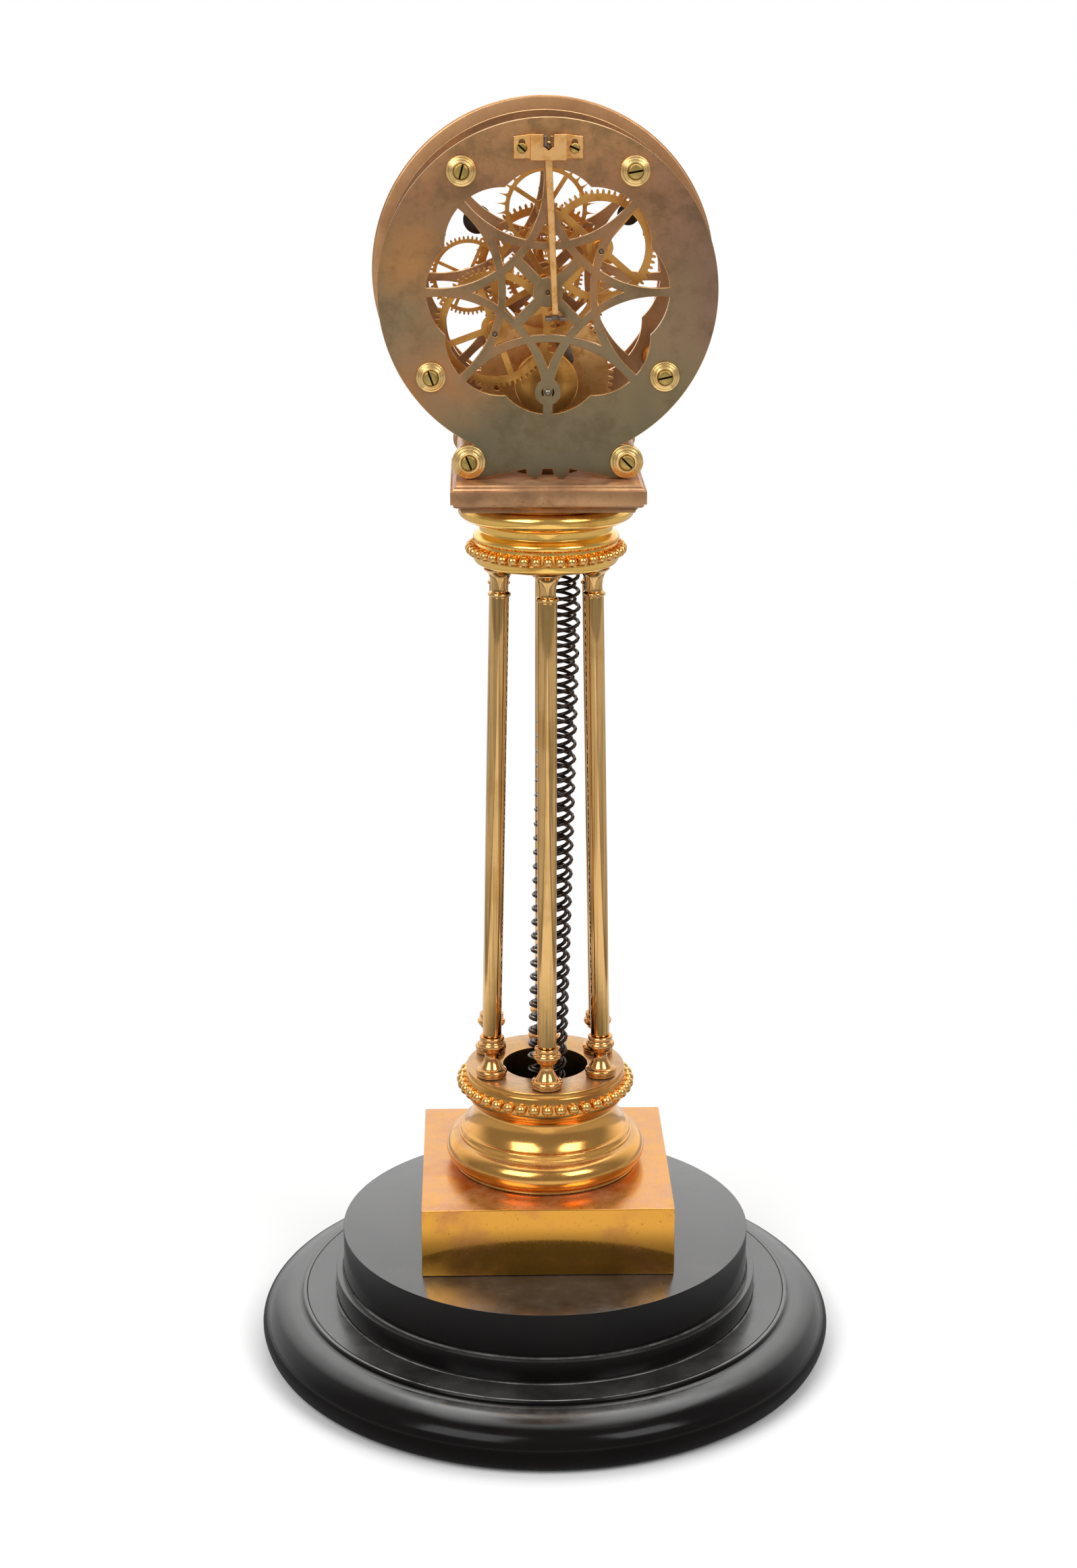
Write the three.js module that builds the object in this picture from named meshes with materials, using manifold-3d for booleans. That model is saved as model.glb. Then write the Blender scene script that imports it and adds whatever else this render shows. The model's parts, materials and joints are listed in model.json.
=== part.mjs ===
// Skeleton clock on six leaning brass columns, driven by a long hanging coil spring.
// Millimetres, +Z up, origin at the middle of the underside of the base.
// The pierced back plate faces -Y, the chapter ring faces +Y, and +X is to the right seen from the back.
import * as THREE from 'three';
import { mergeVertices } from 'three/addons/utils/BufferGeometryUtils.js';
import Module from 'manifold-3d';

const wasm = await Module();
wasm.setup();

// Clearances
const seatGap = 0.3;       // between two pieces that rest on each other
const leanGap = 0.5;       // under a piece that leans on a flat top
const holeGap = 0.3;       // round a pin in its hole
const cutOverrun = 1;      // how far a cutter runs past what it cuts

// Ebonised base, two turnings
const baseRadius = 140.8;
const baseFootRadius = 133;
const bulgeHeight = 13;
const bulgeTopRadius = 122.6;
const bulgeTopHeight = 25.4;
const seatRadius = 121;
const seatHeight = 28;
const stepRadius = 104;
const drumRecess = 1.2;
const stepHeight = 11;
const baseTopRadius = 100;
const baseTopHeight = 22;

// Gilt plinth and socle
const plinthSide = 120;
const plinthHeight = 34;
const plinthEdge = 0.6;
const socleHeight = 49.6;
const socleTorusRadius = 48.5;
const socleTorusHeight = 14;
const socleNeckRadius = 34.9;
const socleNeckHeight = 30;
const socleTopRadius = 38.3;
const socleTopHeight = 5;
const socleBore = 20.6;
const socleFlangeHeight = 38;  // from here up the socle is as wide as its seat for the beads
const socleFlangeRadius = 39.2;
const socleBeadHeight = 41.7;
const socleBeadRadius = 2.65;
const socleBeadReach = 40.5;

// Six columns
const columnCount = 6;
const columnRingLow = 30.5;    // distance of the axes from the middle at the socle
const columnRingHigh = 24.8;   // and at the capital
const columnLength = 249;
const shaftRadius = 4.5;
const footHeight = 20.3;
const footRadius = 7.4;
const footWaist = 3.2;
const footCollarRadius = 6.5;
const neckHeight = 12.6;
const neckRingRadius = 5.3;
const neckRadius = 3.9;
const neckFlareRadius = 7.4;
const columnSides = 8;

// Capital and the square base of the movement
const capitalHeight = 29.8;
const capitalBore = 19;
const capitalPlateRadius = 33.5;
const capitalPlateHeight = 5;
const capitalBeadRadius = 2.3;
const capitalRingRadius = 33.7;
const capitalRingHeight = 5.2;
const capitalHollowRadius = 30.6;
const capitalTorusRadius = 40.6;
const capitalTorusHeight = 10;
const tableSide = 87.2;
const tableHeight = 13;
const tableFaceHeight = 6;
const tableTopInset = 2.6;
const tableTopHeight = 2.4;
const tableFootInset = 5;
const tableBore = 15;

// Plates of the movement
const plateRadius = 75;
const plateThickness = 3;
const plateSpace = 60;         // between the two plates' inner faces
const backFaceY = -27;         // outer face of the back plate
const footDepth = 82.6;        // from the movement's centre down to the tabs' ends
const tabWidth = 7.3;
const tabSpacing = 12;
const tabRise = 4.4;
const earX = 35.2;
const earDepth = 74.8;
const earRadius = 7.5;
const footEdgeX = 29.5;        // where the foot's slanting edge ends, under the collar
const footEdgeDepth = 82.2;
const lobeCount = 8;
const lobeRadius = 25.3;
const lobeDistance = 28.3;
const bandOuterCentre = 68.2;  // each star band lies between two circles
const bandOuterRadius = 46.4;
const bandInnerCentre = 76.3;
const bandInnerRadius = 57.9;
const spokeWidth = 4.7;
const bossRadius = 6.6;
const windingBossRadius = 5.9;
const windingNeckWidth = 4.5;
const tipPatchWidth = 5.4;
const tipPatchHeight = 11;
const pivotRadius = 0.9;

// Pillars between the plates, and their collars and screws
const upperPillarRing = 64.4;
const lowerPillarRing = 63.6;
const upperPillarAngle = 54.1;
const lowerPillarAngle = -35.5;
const pillarRadius = 4.2;
const pillarFlange = 6.2;
const pillarFlangeLength = 3;
const footPillarRadius = 5.6;
const collarRadius = 6.7;
const footCollarWasher = 7.5;
const collarHeight = 3.4;
const screwHeadRadius = 3.3;
const screwHeadHeight = 1.6;
const screwSlotWidth = 0.8;
const screwSlotDepth = 0.8;

// Train: places of the arbors seen from the back, from the movement's centre
const drumDepth = 43.9;
const intermediateReach = 29.6;
const intermediateAngle = 217.8;
const thirdReach = 29.35;
const thirdAngle = 37.1;
const escapeRise = 33.1;
const palletRise = 62.6;
const minuteReach = 35.1;

// Train: teeth
const greatTeeth = 64;
const wheelTeeth = 64;
const thirdTeeth = 60;
const pinionLeaves = 8;
const escapeTeeth = 30;
const minuteTeeth = 32;
const hourTeeth = 72;
const minuteLeaves = 6;
const wheelAddendumShare = 0.9;
const wheelDedendumShare = 1.5;
const wheelTipShare = 0.1;
const leafAddendumShare = 0.6;
const leafDedendumShare = 1.55;
const leafTipShare = 0.07;
const leafRootShare = 0.15;

// Train: depths in front of the back plate's inner face
const thirdWheelDepth = 14;
const intermediateWheelDepth = 19;
const drumFlangeDepth = 23.4;
const escapeWheelDepth = 34;
const centreWheelDepth = 42;
const ratchetDepth = 44.8;
const greatWheelDepth = 50;
const wheelThickness = 1.8;
const greatWheelThickness = 2.4;
const escapeThickness = 1.4;
const pinionLength = 4.4;
const arborRadius = 1.6;
const rimWidth = 3.2;
const wheelSpokeWidth = 2.9;
const wheelHubRadius = 6;
const escapeRadius = 22;
const escapeToothHeight = 3.6;
const escapeSpokeTurn = 57;
const thirdSpokeTurn = 49;
const intermediateSpokeTurn = 20;
const centreSpokeTurn = 30;
const minuteSpokeTurn = 66;
const minuteHubRadius = 4;
const greatHoleRadius = 2.4;
const greatHoleReach = 19;
const greatHoles = 3;

// Winding drum, ratchet and click
const windingRadius = 2.45;
const windingSquare = 3.6;
const windingReach = 17;       // how far the key square stands out in front of the front plate
const lineReach = 8.5;         // from the drum's axis to the middle of the line
const lineRadius = 0.7;
const drumFlangeRadius = 14.4;
const drumFlangeThickness = 1.6;
const drumWidth = 15;
const ratchetTeeth = 18;
const ratchetRadius = 10.6;
const ratchetToothHeight = 1.3;
const ratchetThickness = 2;
const clickPivotReach = 17;
const clickPivotAngle = 62;
const clickStudRadius = 1.5;
const clickBossRadius = 3;
const clickTipAngle = 24;

// Escapement
const palletReachAngle = 42;   // half the angle that the pallets span at the escape wheel
const palletNibAngle = 4.4;
const palletLift = 0.35;
const palletThickness = 2.4;
const palletBossRadius = 3.6;
const palletShoulder = 17.2;
const crutchWidth = 2.6;
const crutchThickness = 2;
const crutchLean = 2.5;
const crutchLength = 72;
const crutchGap = 1.2;
const forkWidth = 9;
const forkHeight = 2;
const forkPinLength = 6.5;
const forkPinRadius = 0.9;

// Back cock
const cockWidth = 30;
const cockHeight = 11;
const cockBridgeWidth = 15.6;
const cockFlange = 1.8;
const cockProud = 6.4;
const cockPlate = 2;
const cockBelow = 5.6;         // how far its lower edge lies under the pallet arbor
const cockSlotWidth = 1.8;
const cockSlotHeight = 6.2;
const cockScrewRadius = 2.4;
const cockScrewReach = 11.4;

// Motion work, hands and chapter ring
const cannonDepth = 1.6;       // in front of the front plate's outer face
const hourDepth = 7;
const hourPipeLength = 15.5;
const cannonPipeLength = 23.4;
const cannonPipeRadius = 2.5;
const hourPipeRadius = 3.8;
const handThickness = 1.4;
const ringDepth = 20;
const ringThickness = 2.5;
const ringInner = 54;
const ringOuter = 80.3;
const ringPostRadius = 2.4;
const ringPostReach = 64;
const ringPosts = 4;
const hourHandAngle = 142.4;
const hourHandBlob = 38.8;
const hourHandBlobRadius = 6.7;
const hourHandTip = 50;
const minuteHandAngle = 32.8;
const minuteHandBlob = 47.6;
const minuteHandBlobRadius = 5.2;
const minuteHandTip = 68;
const handStem = 2.6;
const handHubRadius = 5.2;

// Drive spring and what holds it
const springTurns = 40;
const springRadius = 8.1;
const springWire = 0.95;
const springLean = 7.4;
const springStubLength = 2.4;
const springSteps = 8;
const springSides = 5;
const anchorHeight = 12;
const anchorRadius = 9;
const anchorStem = 2.6;
const hookLength = 9;
const hookRadius = 2.4;
const hookTopBelowDrum = 62;

// Materials
const ebony = new THREE.MeshStandardMaterial({ color: 0x15120f, roughness: 0.25, metalness: 0 });
const gilt = new THREE.MeshStandardMaterial({ color: 0xc98a3a, roughness: 0.25, metalness: 1 });
const shaftBrass = new THREE.MeshStandardMaterial({ color: 0xa88449, roughness: 0.3, metalness: 1 });
const bronze = new THREE.MeshStandardMaterial({ color: 0x8a6a48, roughness: 0.4, metalness: 1 });
const plateBrass = new THREE.MeshStandardMaterial({ color: 0x7d6b45, roughness: 0.4, metalness: 1 });
const wheelBrass = new THREE.MeshStandardMaterial({ color: 0xb8873e, roughness: 0.35, metalness: 1 });
const steel = new THREE.MeshStandardMaterial({ color: 0x6f6d68, roughness: 0.35, metalness: 1 });
const blackSteel = new THREE.MeshStandardMaterial({ color: 0x1d1a19, roughness: 0.35, metalness: 0.8 });
const gut = new THREE.MeshStandardMaterial({ color: 0x6b4f2a, roughness: 0.6, metalness: 0 });

// Heights of the stack
const baseHeight = seatHeight + stepHeight + baseTopHeight;
const plinthZ = baseHeight + seatGap;
const socleZ = plinthZ + plinthHeight + seatGap;
const socleTopZ = socleZ + socleHeight;
const columnLean = Math.asin((columnRingLow - columnRingHigh) / columnLength);
const columnRise = columnLength * Math.cos(columnLean);
const capitalZ = socleTopZ + leanGap + columnRise + leanGap;
const tableZ = capitalZ + capitalHeight + seatGap;
const tableTopZ = tableZ + tableHeight;
const centreZ = tableTopZ + seatGap + footDepth;
const drumZ = centreZ - drumDepth;

// Depths of the movement
const backInnerY = backFaceY + plateThickness;
const frontInnerY = backInnerY + plateSpace;
const frontFaceY = frontInnerY + plateThickness;
const lineY = backInnerY + drumFlangeDepth + drumFlangeThickness + drumWidth / 3;

// Places of the arbors, x and height from the movement's centre
const polar = (reach, degrees) => {
  const turn = THREE.MathUtils.degToRad(degrees);
  return new THREE.Vector2(reach * Math.cos(turn), reach * Math.sin(turn));
};
const centreAt = new THREE.Vector2(0, 0);
const drumAt = new THREE.Vector2(0, -drumDepth);
const intermediateAt = polar(intermediateReach, intermediateAngle);
const thirdAt = polar(thirdReach, thirdAngle);
const escapeAt = new THREE.Vector2(0, escapeRise);
const palletAt = new THREE.Vector2(0, palletRise);
const minuteAt = new THREE.Vector2(-minuteReach, 0);

const clock = new THREE.Group();

// A closed geometry with shared corners, no empty faces, and its faces pointing out
function weld(geometry) {
  const bare = geometry.index ? geometry.toNonIndexed() : geometry.clone();
  for (const name of Object.keys(bare.attributes)) {
    if (name !== 'position') bare.deleteAttribute(name);
  }
  const merged = mergeVertices(bare, 1e-4);
  const corners = merged.index.array;
  const place = merged.attributes.position;
  const kept = [];
  const a = new THREE.Vector3();
  const b = new THREE.Vector3();
  const c = new THREE.Vector3();
  let volume = 0;
  for (let i = 0; i < corners.length; i += 3) {
    const [p, q, r] = [corners[i], corners[i + 1], corners[i + 2]];
    if (p === q || q === r || r === p) continue;
    kept.push(p, q, r);
    a.fromBufferAttribute(place, p);
    b.fromBufferAttribute(place, q);
    c.fromBufferAttribute(place, r);
    volume += a.dot(b.cross(c));
  }
  if (volume < 0) kept.reverse();
  merged.setIndex(kept);
  return merged;
}

// Joins and cuts
function toManifold(geometry) {
  const welded = weld(geometry);
  return new wasm.Manifold(new wasm.Mesh({
    numProp: 3,
    vertProperties: new Float32Array(welded.attributes.position.array),
    triVerts: new Uint32Array(welded.index.array),
  }));
}

function fromManifold(solid) {
  const mesh = solid.getMesh();
  const geometry = new THREE.BufferGeometry();
  geometry.setAttribute('position', new THREE.BufferAttribute(new Float32Array(mesh.vertProperties), 3));
  geometry.setIndex(Array.from(mesh.triVerts));
  return geometry;
}

function joined(first, ...others) {
  const solid = others.reduce((sum, next) => sum.add(toManifold(next)), toManifold(first));
  return fromManifold(solid);
}

function cut(first, ...others) {
  const solid = others.reduce((rest, next) => rest.subtract(toManifold(next)), toManifold(first));
  return fromManifold(solid);
}

// A turning about Z: rows of radius and height, from one end of the outline to the other
function turned(rows, sides, phase = 0) {
  const points = rows.map(([radius, height]) => new THREE.Vector2(radius, height));
  const geometry = new THREE.LatheGeometry(points, sides, phase);
  return geometry.rotateX(Math.PI / 2);
}

// A turning about Y, its rows running from the back to the front
function turnedAlongY(rows, sides, at = centreAt) {
  const geometry = turned(rows, sides, Math.PI / sides);
  geometry.rotateX(-Math.PI / 2);
  return geometry.translate(at.x, 0, centreZ + at.y);
}

const rod = (radius, from, to) => [[0, from], [radius, from], [radius, to], [0, to]];
const tubeRows = (outer, bore, from, to) => [
  [bore, from], [outer, from], [outer, to], [bore, to], [bore, from],
];

// A flat piece seen from the back: an outline in x and height, cut out between two depths
function flat(outline, nearY, farY, holes = [], at = centreAt) {
  const shape = new THREE.Shape(outline);
  shape.holes = holes.map((hole) => new THREE.Path(hole));
  const geometry = new THREE.ExtrudeGeometry(shape, {
    depth: farY - nearY,
    bevelEnabled: false,
  });
  geometry.rotateX(Math.PI / 2);
  return geometry.translate(at.x, farY, centreZ + at.y);
}

function arc(centre, radius, fromDegrees, toDegrees, steps) {
  const points = [];
  for (let i = 0; i <= steps; i += 1) {
    const point = polar(radius, fromDegrees + ((toDegrees - fromDegrees) * i) / steps);
    points.push(point.add(centre));
  }
  return points;
}

function ring(centre, radius, sides) {
  return arc(centre, radius, 0, 360, sides).slice(0, -1);
}

function block(width, height, middle) {
  const [w, h] = [width / 2, height / 2];
  return [[-w, -h], [w, -h], [w, h], [-w, h]].map(
    ([x, y]) => new THREE.Vector2(x, y).add(middle),
  );
}

function turnedBy(points, degrees, about = centreAt) {
  return points.map((point) => point.clone().rotateAround(about, THREE.MathUtils.degToRad(degrees)));
}

// A tube along points, with flat ends
function tube(points, radius, sides) {
  const places = [];
  const corners = [];
  const tangent = new THREE.Vector3();
  const side = new THREE.Vector3();
  const across = new THREE.Vector3();
  points.forEach((point, i) => {
    const before = points[Math.max(i - 1, 0)];
    const after = points[Math.min(i + 1, points.length - 1)];
    tangent.subVectors(after, before).normalize();
    if (i === 0) side.set(tangent.z, tangent.x, tangent.y);
    side.addScaledVector(tangent, -side.dot(tangent)).normalize();
    across.crossVectors(tangent, side);
    for (let k = 0; k < sides; k += 1) {
      const turn = (2 * Math.PI * k) / sides;
      const corner = point.clone();
      corner.addScaledVector(side, radius * Math.cos(turn));
      corner.addScaledVector(across, radius * Math.sin(turn));
      places.push(corner.x, corner.y, corner.z);
    }
  });
  for (let i = 0; i < points.length - 1; i += 1) {
    for (let k = 0; k < sides; k += 1) {
      const [p, q] = [i * sides + k, i * sides + ((k + 1) % sides)];
      corners.push(p, q, p + sides, q, q + sides, p + sides);
    }
  }
  const last = (points.length - 1) * sides;
  for (let k = 1; k < sides - 1; k += 1) {
    corners.push(0, k + 1, k, last, last + k, last + k + 1);
  }
  const geometry = new THREE.BufferGeometry();
  geometry.setAttribute('position', new THREE.Float32BufferAttribute(places, 3));
  geometry.setIndex(corners);
  return geometry;
}

function add(name, geometry, material, parent = clock) {
  const mesh = new THREE.Mesh(weld(geometry), material);
  mesh.name = name;
  parent.add(mesh);
  return mesh;
}

// Ebonised base: a bulging foot with the flat seat for a dome, and a stepped drum let into it
function makeBase() {
  const bulge = new THREE.SplineCurve([
    new THREE.Vector2(baseFootRadius, 0),
    new THREE.Vector2(baseRadius, bulgeHeight),
    new THREE.Vector2((baseRadius + bulgeTopRadius) / 2, (bulgeHeight + 2 * bulgeTopHeight) / 3),
    new THREE.Vector2(bulgeTopRadius, bulgeTopHeight),
  ]);
  const rows = bulge.getPoints(4).map((point) => [point.x, point.y]);
  add('base_moulding', turned([
    [0, 0],
    ...rows,
    [seatRadius, bulgeTopHeight],
    [seatRadius, seatHeight],
    [stepRadius + seatGap, seatHeight],
    [stepRadius + seatGap, seatHeight - drumRecess],
    [0, seatHeight - drumRecess],
  ], 30), ebony);
  const drumLow = seatHeight - drumRecess + seatGap;
  const step = seatHeight + stepHeight;
  add('base_drum', turned([
    [0, drumLow],
    [stepRadius, drumLow],
    [stepRadius, step],
    [baseTopRadius, step],
    [baseTopRadius, baseHeight],
    [0, baseHeight],
  ], 30), ebony);
}

// Square gilt plinth
function makePlinth() {
  const corner = Math.SQRT2 / 2;
  const edge = plinthEdge * Math.SQRT2;
  const half = plinthSide * corner;
  const top = plinthZ + plinthHeight;
  add('plinth', turned([
    [0, plinthZ],
    [half, plinthZ],
    [half, top - plinthEdge],
    [half - edge, top],
    [0, top],
  ], 4, Math.PI / 4), gilt);
}

// Turned gilt socle with its bore and bead ring
function makeSocle() {
  const torusMiddle = socleTorusHeight / 2;
  const z = (height) => socleZ + height;
  const lip = socleTopHeight / 5;
  const body = turned([
    [socleBore, z(0)],
    [socleTorusRadius - torusMiddle / 2, z(0)],
    [socleTorusRadius - lip / 2, z(torusMiddle / 2)],
    [socleTorusRadius, z(torusMiddle)],
    [socleTorusRadius - lip, z(torusMiddle * 1.5)],
    [socleTorusRadius - torusMiddle * 0.75, z(socleTorusHeight)],
    [(socleTorusRadius + socleNeckRadius) / 2, z(socleTorusHeight + lip)],
    [(socleTorusRadius + socleNeckRadius) / 2 - lip, z(socleTorusHeight + 4 * lip)],
    [socleNeckRadius + 2 * lip, z((socleTorusHeight + socleNeckHeight) / 2)],
    [socleNeckRadius, z(socleNeckHeight)],
    [socleNeckRadius + lip, z(socleFlangeHeight - socleTopHeight)],
    [socleFlangeRadius, z(socleFlangeHeight)],
    [socleBeadReach + socleBeadRadius, z(socleBeadHeight - socleBeadRadius / 2)],
    [socleBeadReach + socleBeadRadius, z(socleBeadHeight + socleBeadRadius / 2)],
    [socleFlangeRadius, z(socleBeadHeight + socleBeadRadius)],
    [socleTopRadius, z(socleHeight)],
    [socleBore, z(socleHeight)],
    [socleBore, z(0)],
  ], 24);
  add('socle', body, gilt);
}

// Six leaning columns: a turned foot and a shaft that ends in a ring and a flared neck
function makeColumns() {
  const flareShare = 0.62;
  const ringTop = columnLength - neckHeight + neckHeight / 5;
  for (let i = 0; i < columnCount; i += 1) {
    const column = new THREE.Group();
    column.rotation.z = -Math.PI / 2 + (i * 2 * Math.PI) / columnCount;
    clock.add(column);
    const leaning = new THREE.Group();
    leaning.position.set(columnRingLow, 0, socleTopZ + leanGap);
    leaning.rotation.y = -columnLean;
    column.add(leaning);
    add(`column_foot_${i + 1}`, turned([
      [0, 0],
      [footRadius - footHeight / 30, 0],
      [footRadius, footHeight * 0.1],
      [footRadius, footHeight * 0.2],
      [footRadius * 0.7, footHeight * 0.3],
      [footWaist, footHeight * 0.47],
      [footWaist * 1.2, footHeight * 0.58],
      [footCollarRadius, footHeight * 0.68],
      [footCollarRadius, footHeight * 0.92],
      [footCollarRadius * 0.85, footHeight],
      [0, footHeight],
    ], columnSides), gilt, leaning);
    add(`column_shaft_${i + 1}`, turned([
      [0, footHeight + seatGap],
      [shaftRadius, footHeight + seatGap],
      [shaftRadius, columnLength - neckHeight],
      [neckRingRadius, columnLength - neckHeight],
      [neckRingRadius, ringTop],
      [neckRadius, ringTop],
      [neckRadius, columnLength - neckHeight * (1 - flareShare)],
      [neckFlareRadius, columnLength],
      [0, columnLength],
    ], columnSides), shaftBrass, leaning);
  }
}

// Turned gilt capital, bored for the spring
function makeCapital() {
  const z = (height) => capitalZ + height;
  const ringFrom = capitalPlateHeight + 2 * capitalBeadRadius;
  const ringTo = ringFrom + capitalRingHeight;
  const torusFrom = capitalHeight - capitalTorusHeight;
  const bulge = capitalTorusHeight / 4;
  const body = turned([
    [capitalBore, z(0)],
    [capitalPlateRadius - 0.2 * bulge, z(0)],
    [capitalPlateRadius, z(capitalPlateHeight)],
    [capitalPlateRadius - 0.2 * bulge, z(ringFrom)],
    [capitalRingRadius, z(ringFrom)],
    [capitalRingRadius, z(ringTo - bulge / 2)],
    [capitalHollowRadius, z(ringTo)],
    [capitalHollowRadius, z(torusFrom - bulge / 2)],
    [capitalTorusRadius - bulge, z(torusFrom + bulge / 2)],
    [capitalTorusRadius, z(torusFrom + 1.6 * bulge)],
    [capitalTorusRadius - 0.4 * bulge, z(torusFrom + 2.8 * bulge)],
    [capitalTorusRadius - 1.4 * bulge, z(capitalHeight)],
    [capitalBore, z(capitalHeight)],
    [capitalBore, z(0)],
  ], 24);
  add('capital', body, gilt);
}

// Square moulded table that carries the movement
function makeTable() {
  const corner = Math.SQRT2;
  const half = (tableSide / 2) * corner;
  const z = (height) => tableZ + height;
  const faceFrom = tableHeight - tableTopHeight - tableFaceHeight;
  const body = turned([
    [0, z(0)],
    [half - tableFootInset * corner, z(0)],
    [half - tableFootInset * 0.7 * corner, z(faceFrom * 0.45)],
    [half - tableFootInset * 0.3 * corner, z(faceFrom * 0.6)],
    [half - tableFootInset * 0.25 * corner, z(faceFrom)],
    [half, z(faceFrom)],
    [half, z(faceFrom + tableFaceHeight)],
    [half - tableTopInset * 0.4 * corner, z(faceFrom + tableFaceHeight)],
    [half - tableTopInset * corner, z(tableHeight - tableTopHeight * 0.3)],
    [half - tableTopInset * corner, z(tableHeight)],
    [0, z(tableHeight)],
  ], 4, Math.PI / 4);
  const bore = turned(rod(tableBore, z(-cutOverrun), z(tableHeight + cutOverrun)), 24);
  add('movement_table', cut(body, bore), bronze);
}

// Outline of a plate: the round, two ears under the foot collars, a slanting edge and two tabs
function plateOutline() {
  const shoulder = -THREE.MathUtils.radToDeg(Math.atan2(earDepth, earX));
  const archTop = -(footDepth - tabRise);
  const right = [new THREE.Vector2(footEdgeX, -footEdgeDepth)];
  right.push(...arc(new THREE.Vector2(earX, -earDepth), earRadius, -90, 90, 6));
  const round = arc(centreAt, plateRadius, shoulder + 1, 179 - shoulder, 26);
  const tabMiddle = tabSpacing / 2;
  const tabTip = -(footDepth - tabWidth / 2);
  const tab = [
    new THREE.Vector2(tabMiddle - tabWidth / 2, archTop),
    ...arc(new THREE.Vector2(tabMiddle, tabTip), tabWidth / 2, -180, 0, 4),
    new THREE.Vector2(tabMiddle + tabWidth / 2, archTop),
  ];
  const mirror = (points) => points.map((point) => new THREE.Vector2(-point.x, point.y)).reverse();
  return [...tab, ...right, ...round, ...mirror(right), ...mirror(tab)];
}

// The eight-lobed opening of a plate
function lobedOpening() {
  const points = [];
  const half = 180 / lobeCount;
  const cusp = Math.asin((lobeDistance * Math.sin(THREE.MathUtils.degToRad(half))) / lobeRadius);
  const sweep = half + THREE.MathUtils.radToDeg(cusp);
  for (let k = 0; k < lobeCount; k += 1) {
    const axis = (k * 360) / lobeCount;
    points.push(...arc(polar(lobeDistance, axis), lobeRadius, axis - sweep, axis + sweep, 4).slice(0, -1));
  }
  return points;
}

// One concave band of the star, between two circles
function starBand(axis) {
  const outer = arc(new THREE.Vector2(bandOuterCentre, 0), bandOuterRadius, 124, 236, 4);
  const inner = arc(new THREE.Vector2(bandInnerCentre, 0), bandInnerRadius, 229, 131, 4);
  return turnedBy([...outer, ...inner], axis);
}

const arborHoles = [
  [centreAt, pivotRadius],
  [intermediateAt, pivotRadius],
  [thirdAt, pivotRadius],
  [escapeAt, pivotRadius],
  [drumAt, windingRadius],
];
const upperPillars = [180 - upperPillarAngle, upperPillarAngle].map((a) => polar(upperPillarRing, a));
const lowerPillars = [180 - lowerPillarAngle, lowerPillarAngle].map((a) => polar(lowerPillarRing, a));
const footPillars = [new THREE.Vector2(-earX, -earDepth), new THREE.Vector2(earX, -earDepth)];
const pillarPlaces = [...upperPillars, ...lowerPillars, ...footPillars];

// A pierced plate: lobed opening, star, spokes, bosses and the holes of the arbors and pillars
function piercedPlate(nearY, holes) {
  const farY = nearY + plateThickness;
  const from = nearY - cutOverrun;
  const to = farY + cutOverrun;
  const parts = [];
  for (let k = 0; k < lobeCount; k += 1) {
    parts.push(flat(starBand((k * 360) / lobeCount), nearY, farY));
  }
  const spokeLength = 2 * (bandOuterCentre - bandOuterRadius - spokeWidth / 4);
  const spoke = block(spokeLength, spokeWidth, centreAt);
  parts.push(flat(turnedBy(spoke, 45), nearY, farY), flat(turnedBy(spoke, 135), nearY, farY));
  parts.push(flat(ring(centreAt, bossRadius, 16), nearY, farY));
  parts.push(flat(ring(drumAt, windingBossRadius, 16), nearY, farY));
  const neck = block(windingNeckWidth, plateRadius / 4, new THREE.Vector2(0, -drumDepth - plateRadius / 6));
  parts.push(flat(neck, nearY, farY));
  const patch = block(tipPatchWidth, tipPatchHeight, new THREE.Vector2(0, escapeRise + tipPatchHeight / 6));
  parts.push(flat(patch, nearY, farY));
  const pierced = cut(flat(plateOutline(), nearY, farY), flat(lobedOpening(), from, to));
  const cutters = [...arborHoles, ...holes].map(([at, radius]) => {
    const sides = radius > pivotRadius ? 8 : 6;
    return turnedAlongY(rod(radius + holeGap, from, to), sides, at);
  });
  return cut(joined(pierced, ...parts), ...cutters);
}

function makePlates() {
  const back = [[palletAt, arborRadius]];
  const front = [[palletAt, pivotRadius], [minuteAt, pivotRadius], [centreAt, arborRadius]];
  add('back_plate', piercedPlate(backFaceY, back), plateBrass);
  add('front_plate', piercedPlate(frontInnerY, front), bronze);
}

// Pillars with a flange at each end, clamped between the plates by collars and screws
function makePillars() {
  const from = backInnerY + seatGap;
  const to = frontInnerY - seatGap;
  pillarPlaces.forEach((at, i) => {
    const isFoot = i >= upperPillars.length + lowerPillars.length;
    const body = isFoot ? footPillarRadius : pillarRadius;
    const flange = isFoot ? earRadius - seatGap : pillarFlange;
    add(`pillar_${i + 1}`, turnedAlongY([
      [0, from],
      [flange, from],
      [flange, from + pillarFlangeLength],
      [body, from + pillarFlangeLength],
      [body, to - pillarFlangeLength],
      [flange, to - pillarFlangeLength],
      [flange, to],
      [0, to],
    ], 8, at), isFoot ? bronze : wheelBrass);
    const washer = isFoot ? footCollarWasher : collarRadius;
    const face = backFaceY - seatGap;
    const collar = turnedAlongY([
      [0, face],
      [washer, face],
      [washer, face - collarHeight * 0.4],
      [washer * 0.83, face - collarHeight * 0.6],
      [washer * 0.66, face - collarHeight],
      [screwHeadRadius, face - collarHeight],
      [screwHeadRadius, face - collarHeight - screwHeadHeight],
      [0, face - collarHeight - screwHeadHeight],
    ], 9, at);
    add(`pillar_screw_${i + 1}`, collar, gilt);
  });
}

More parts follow.
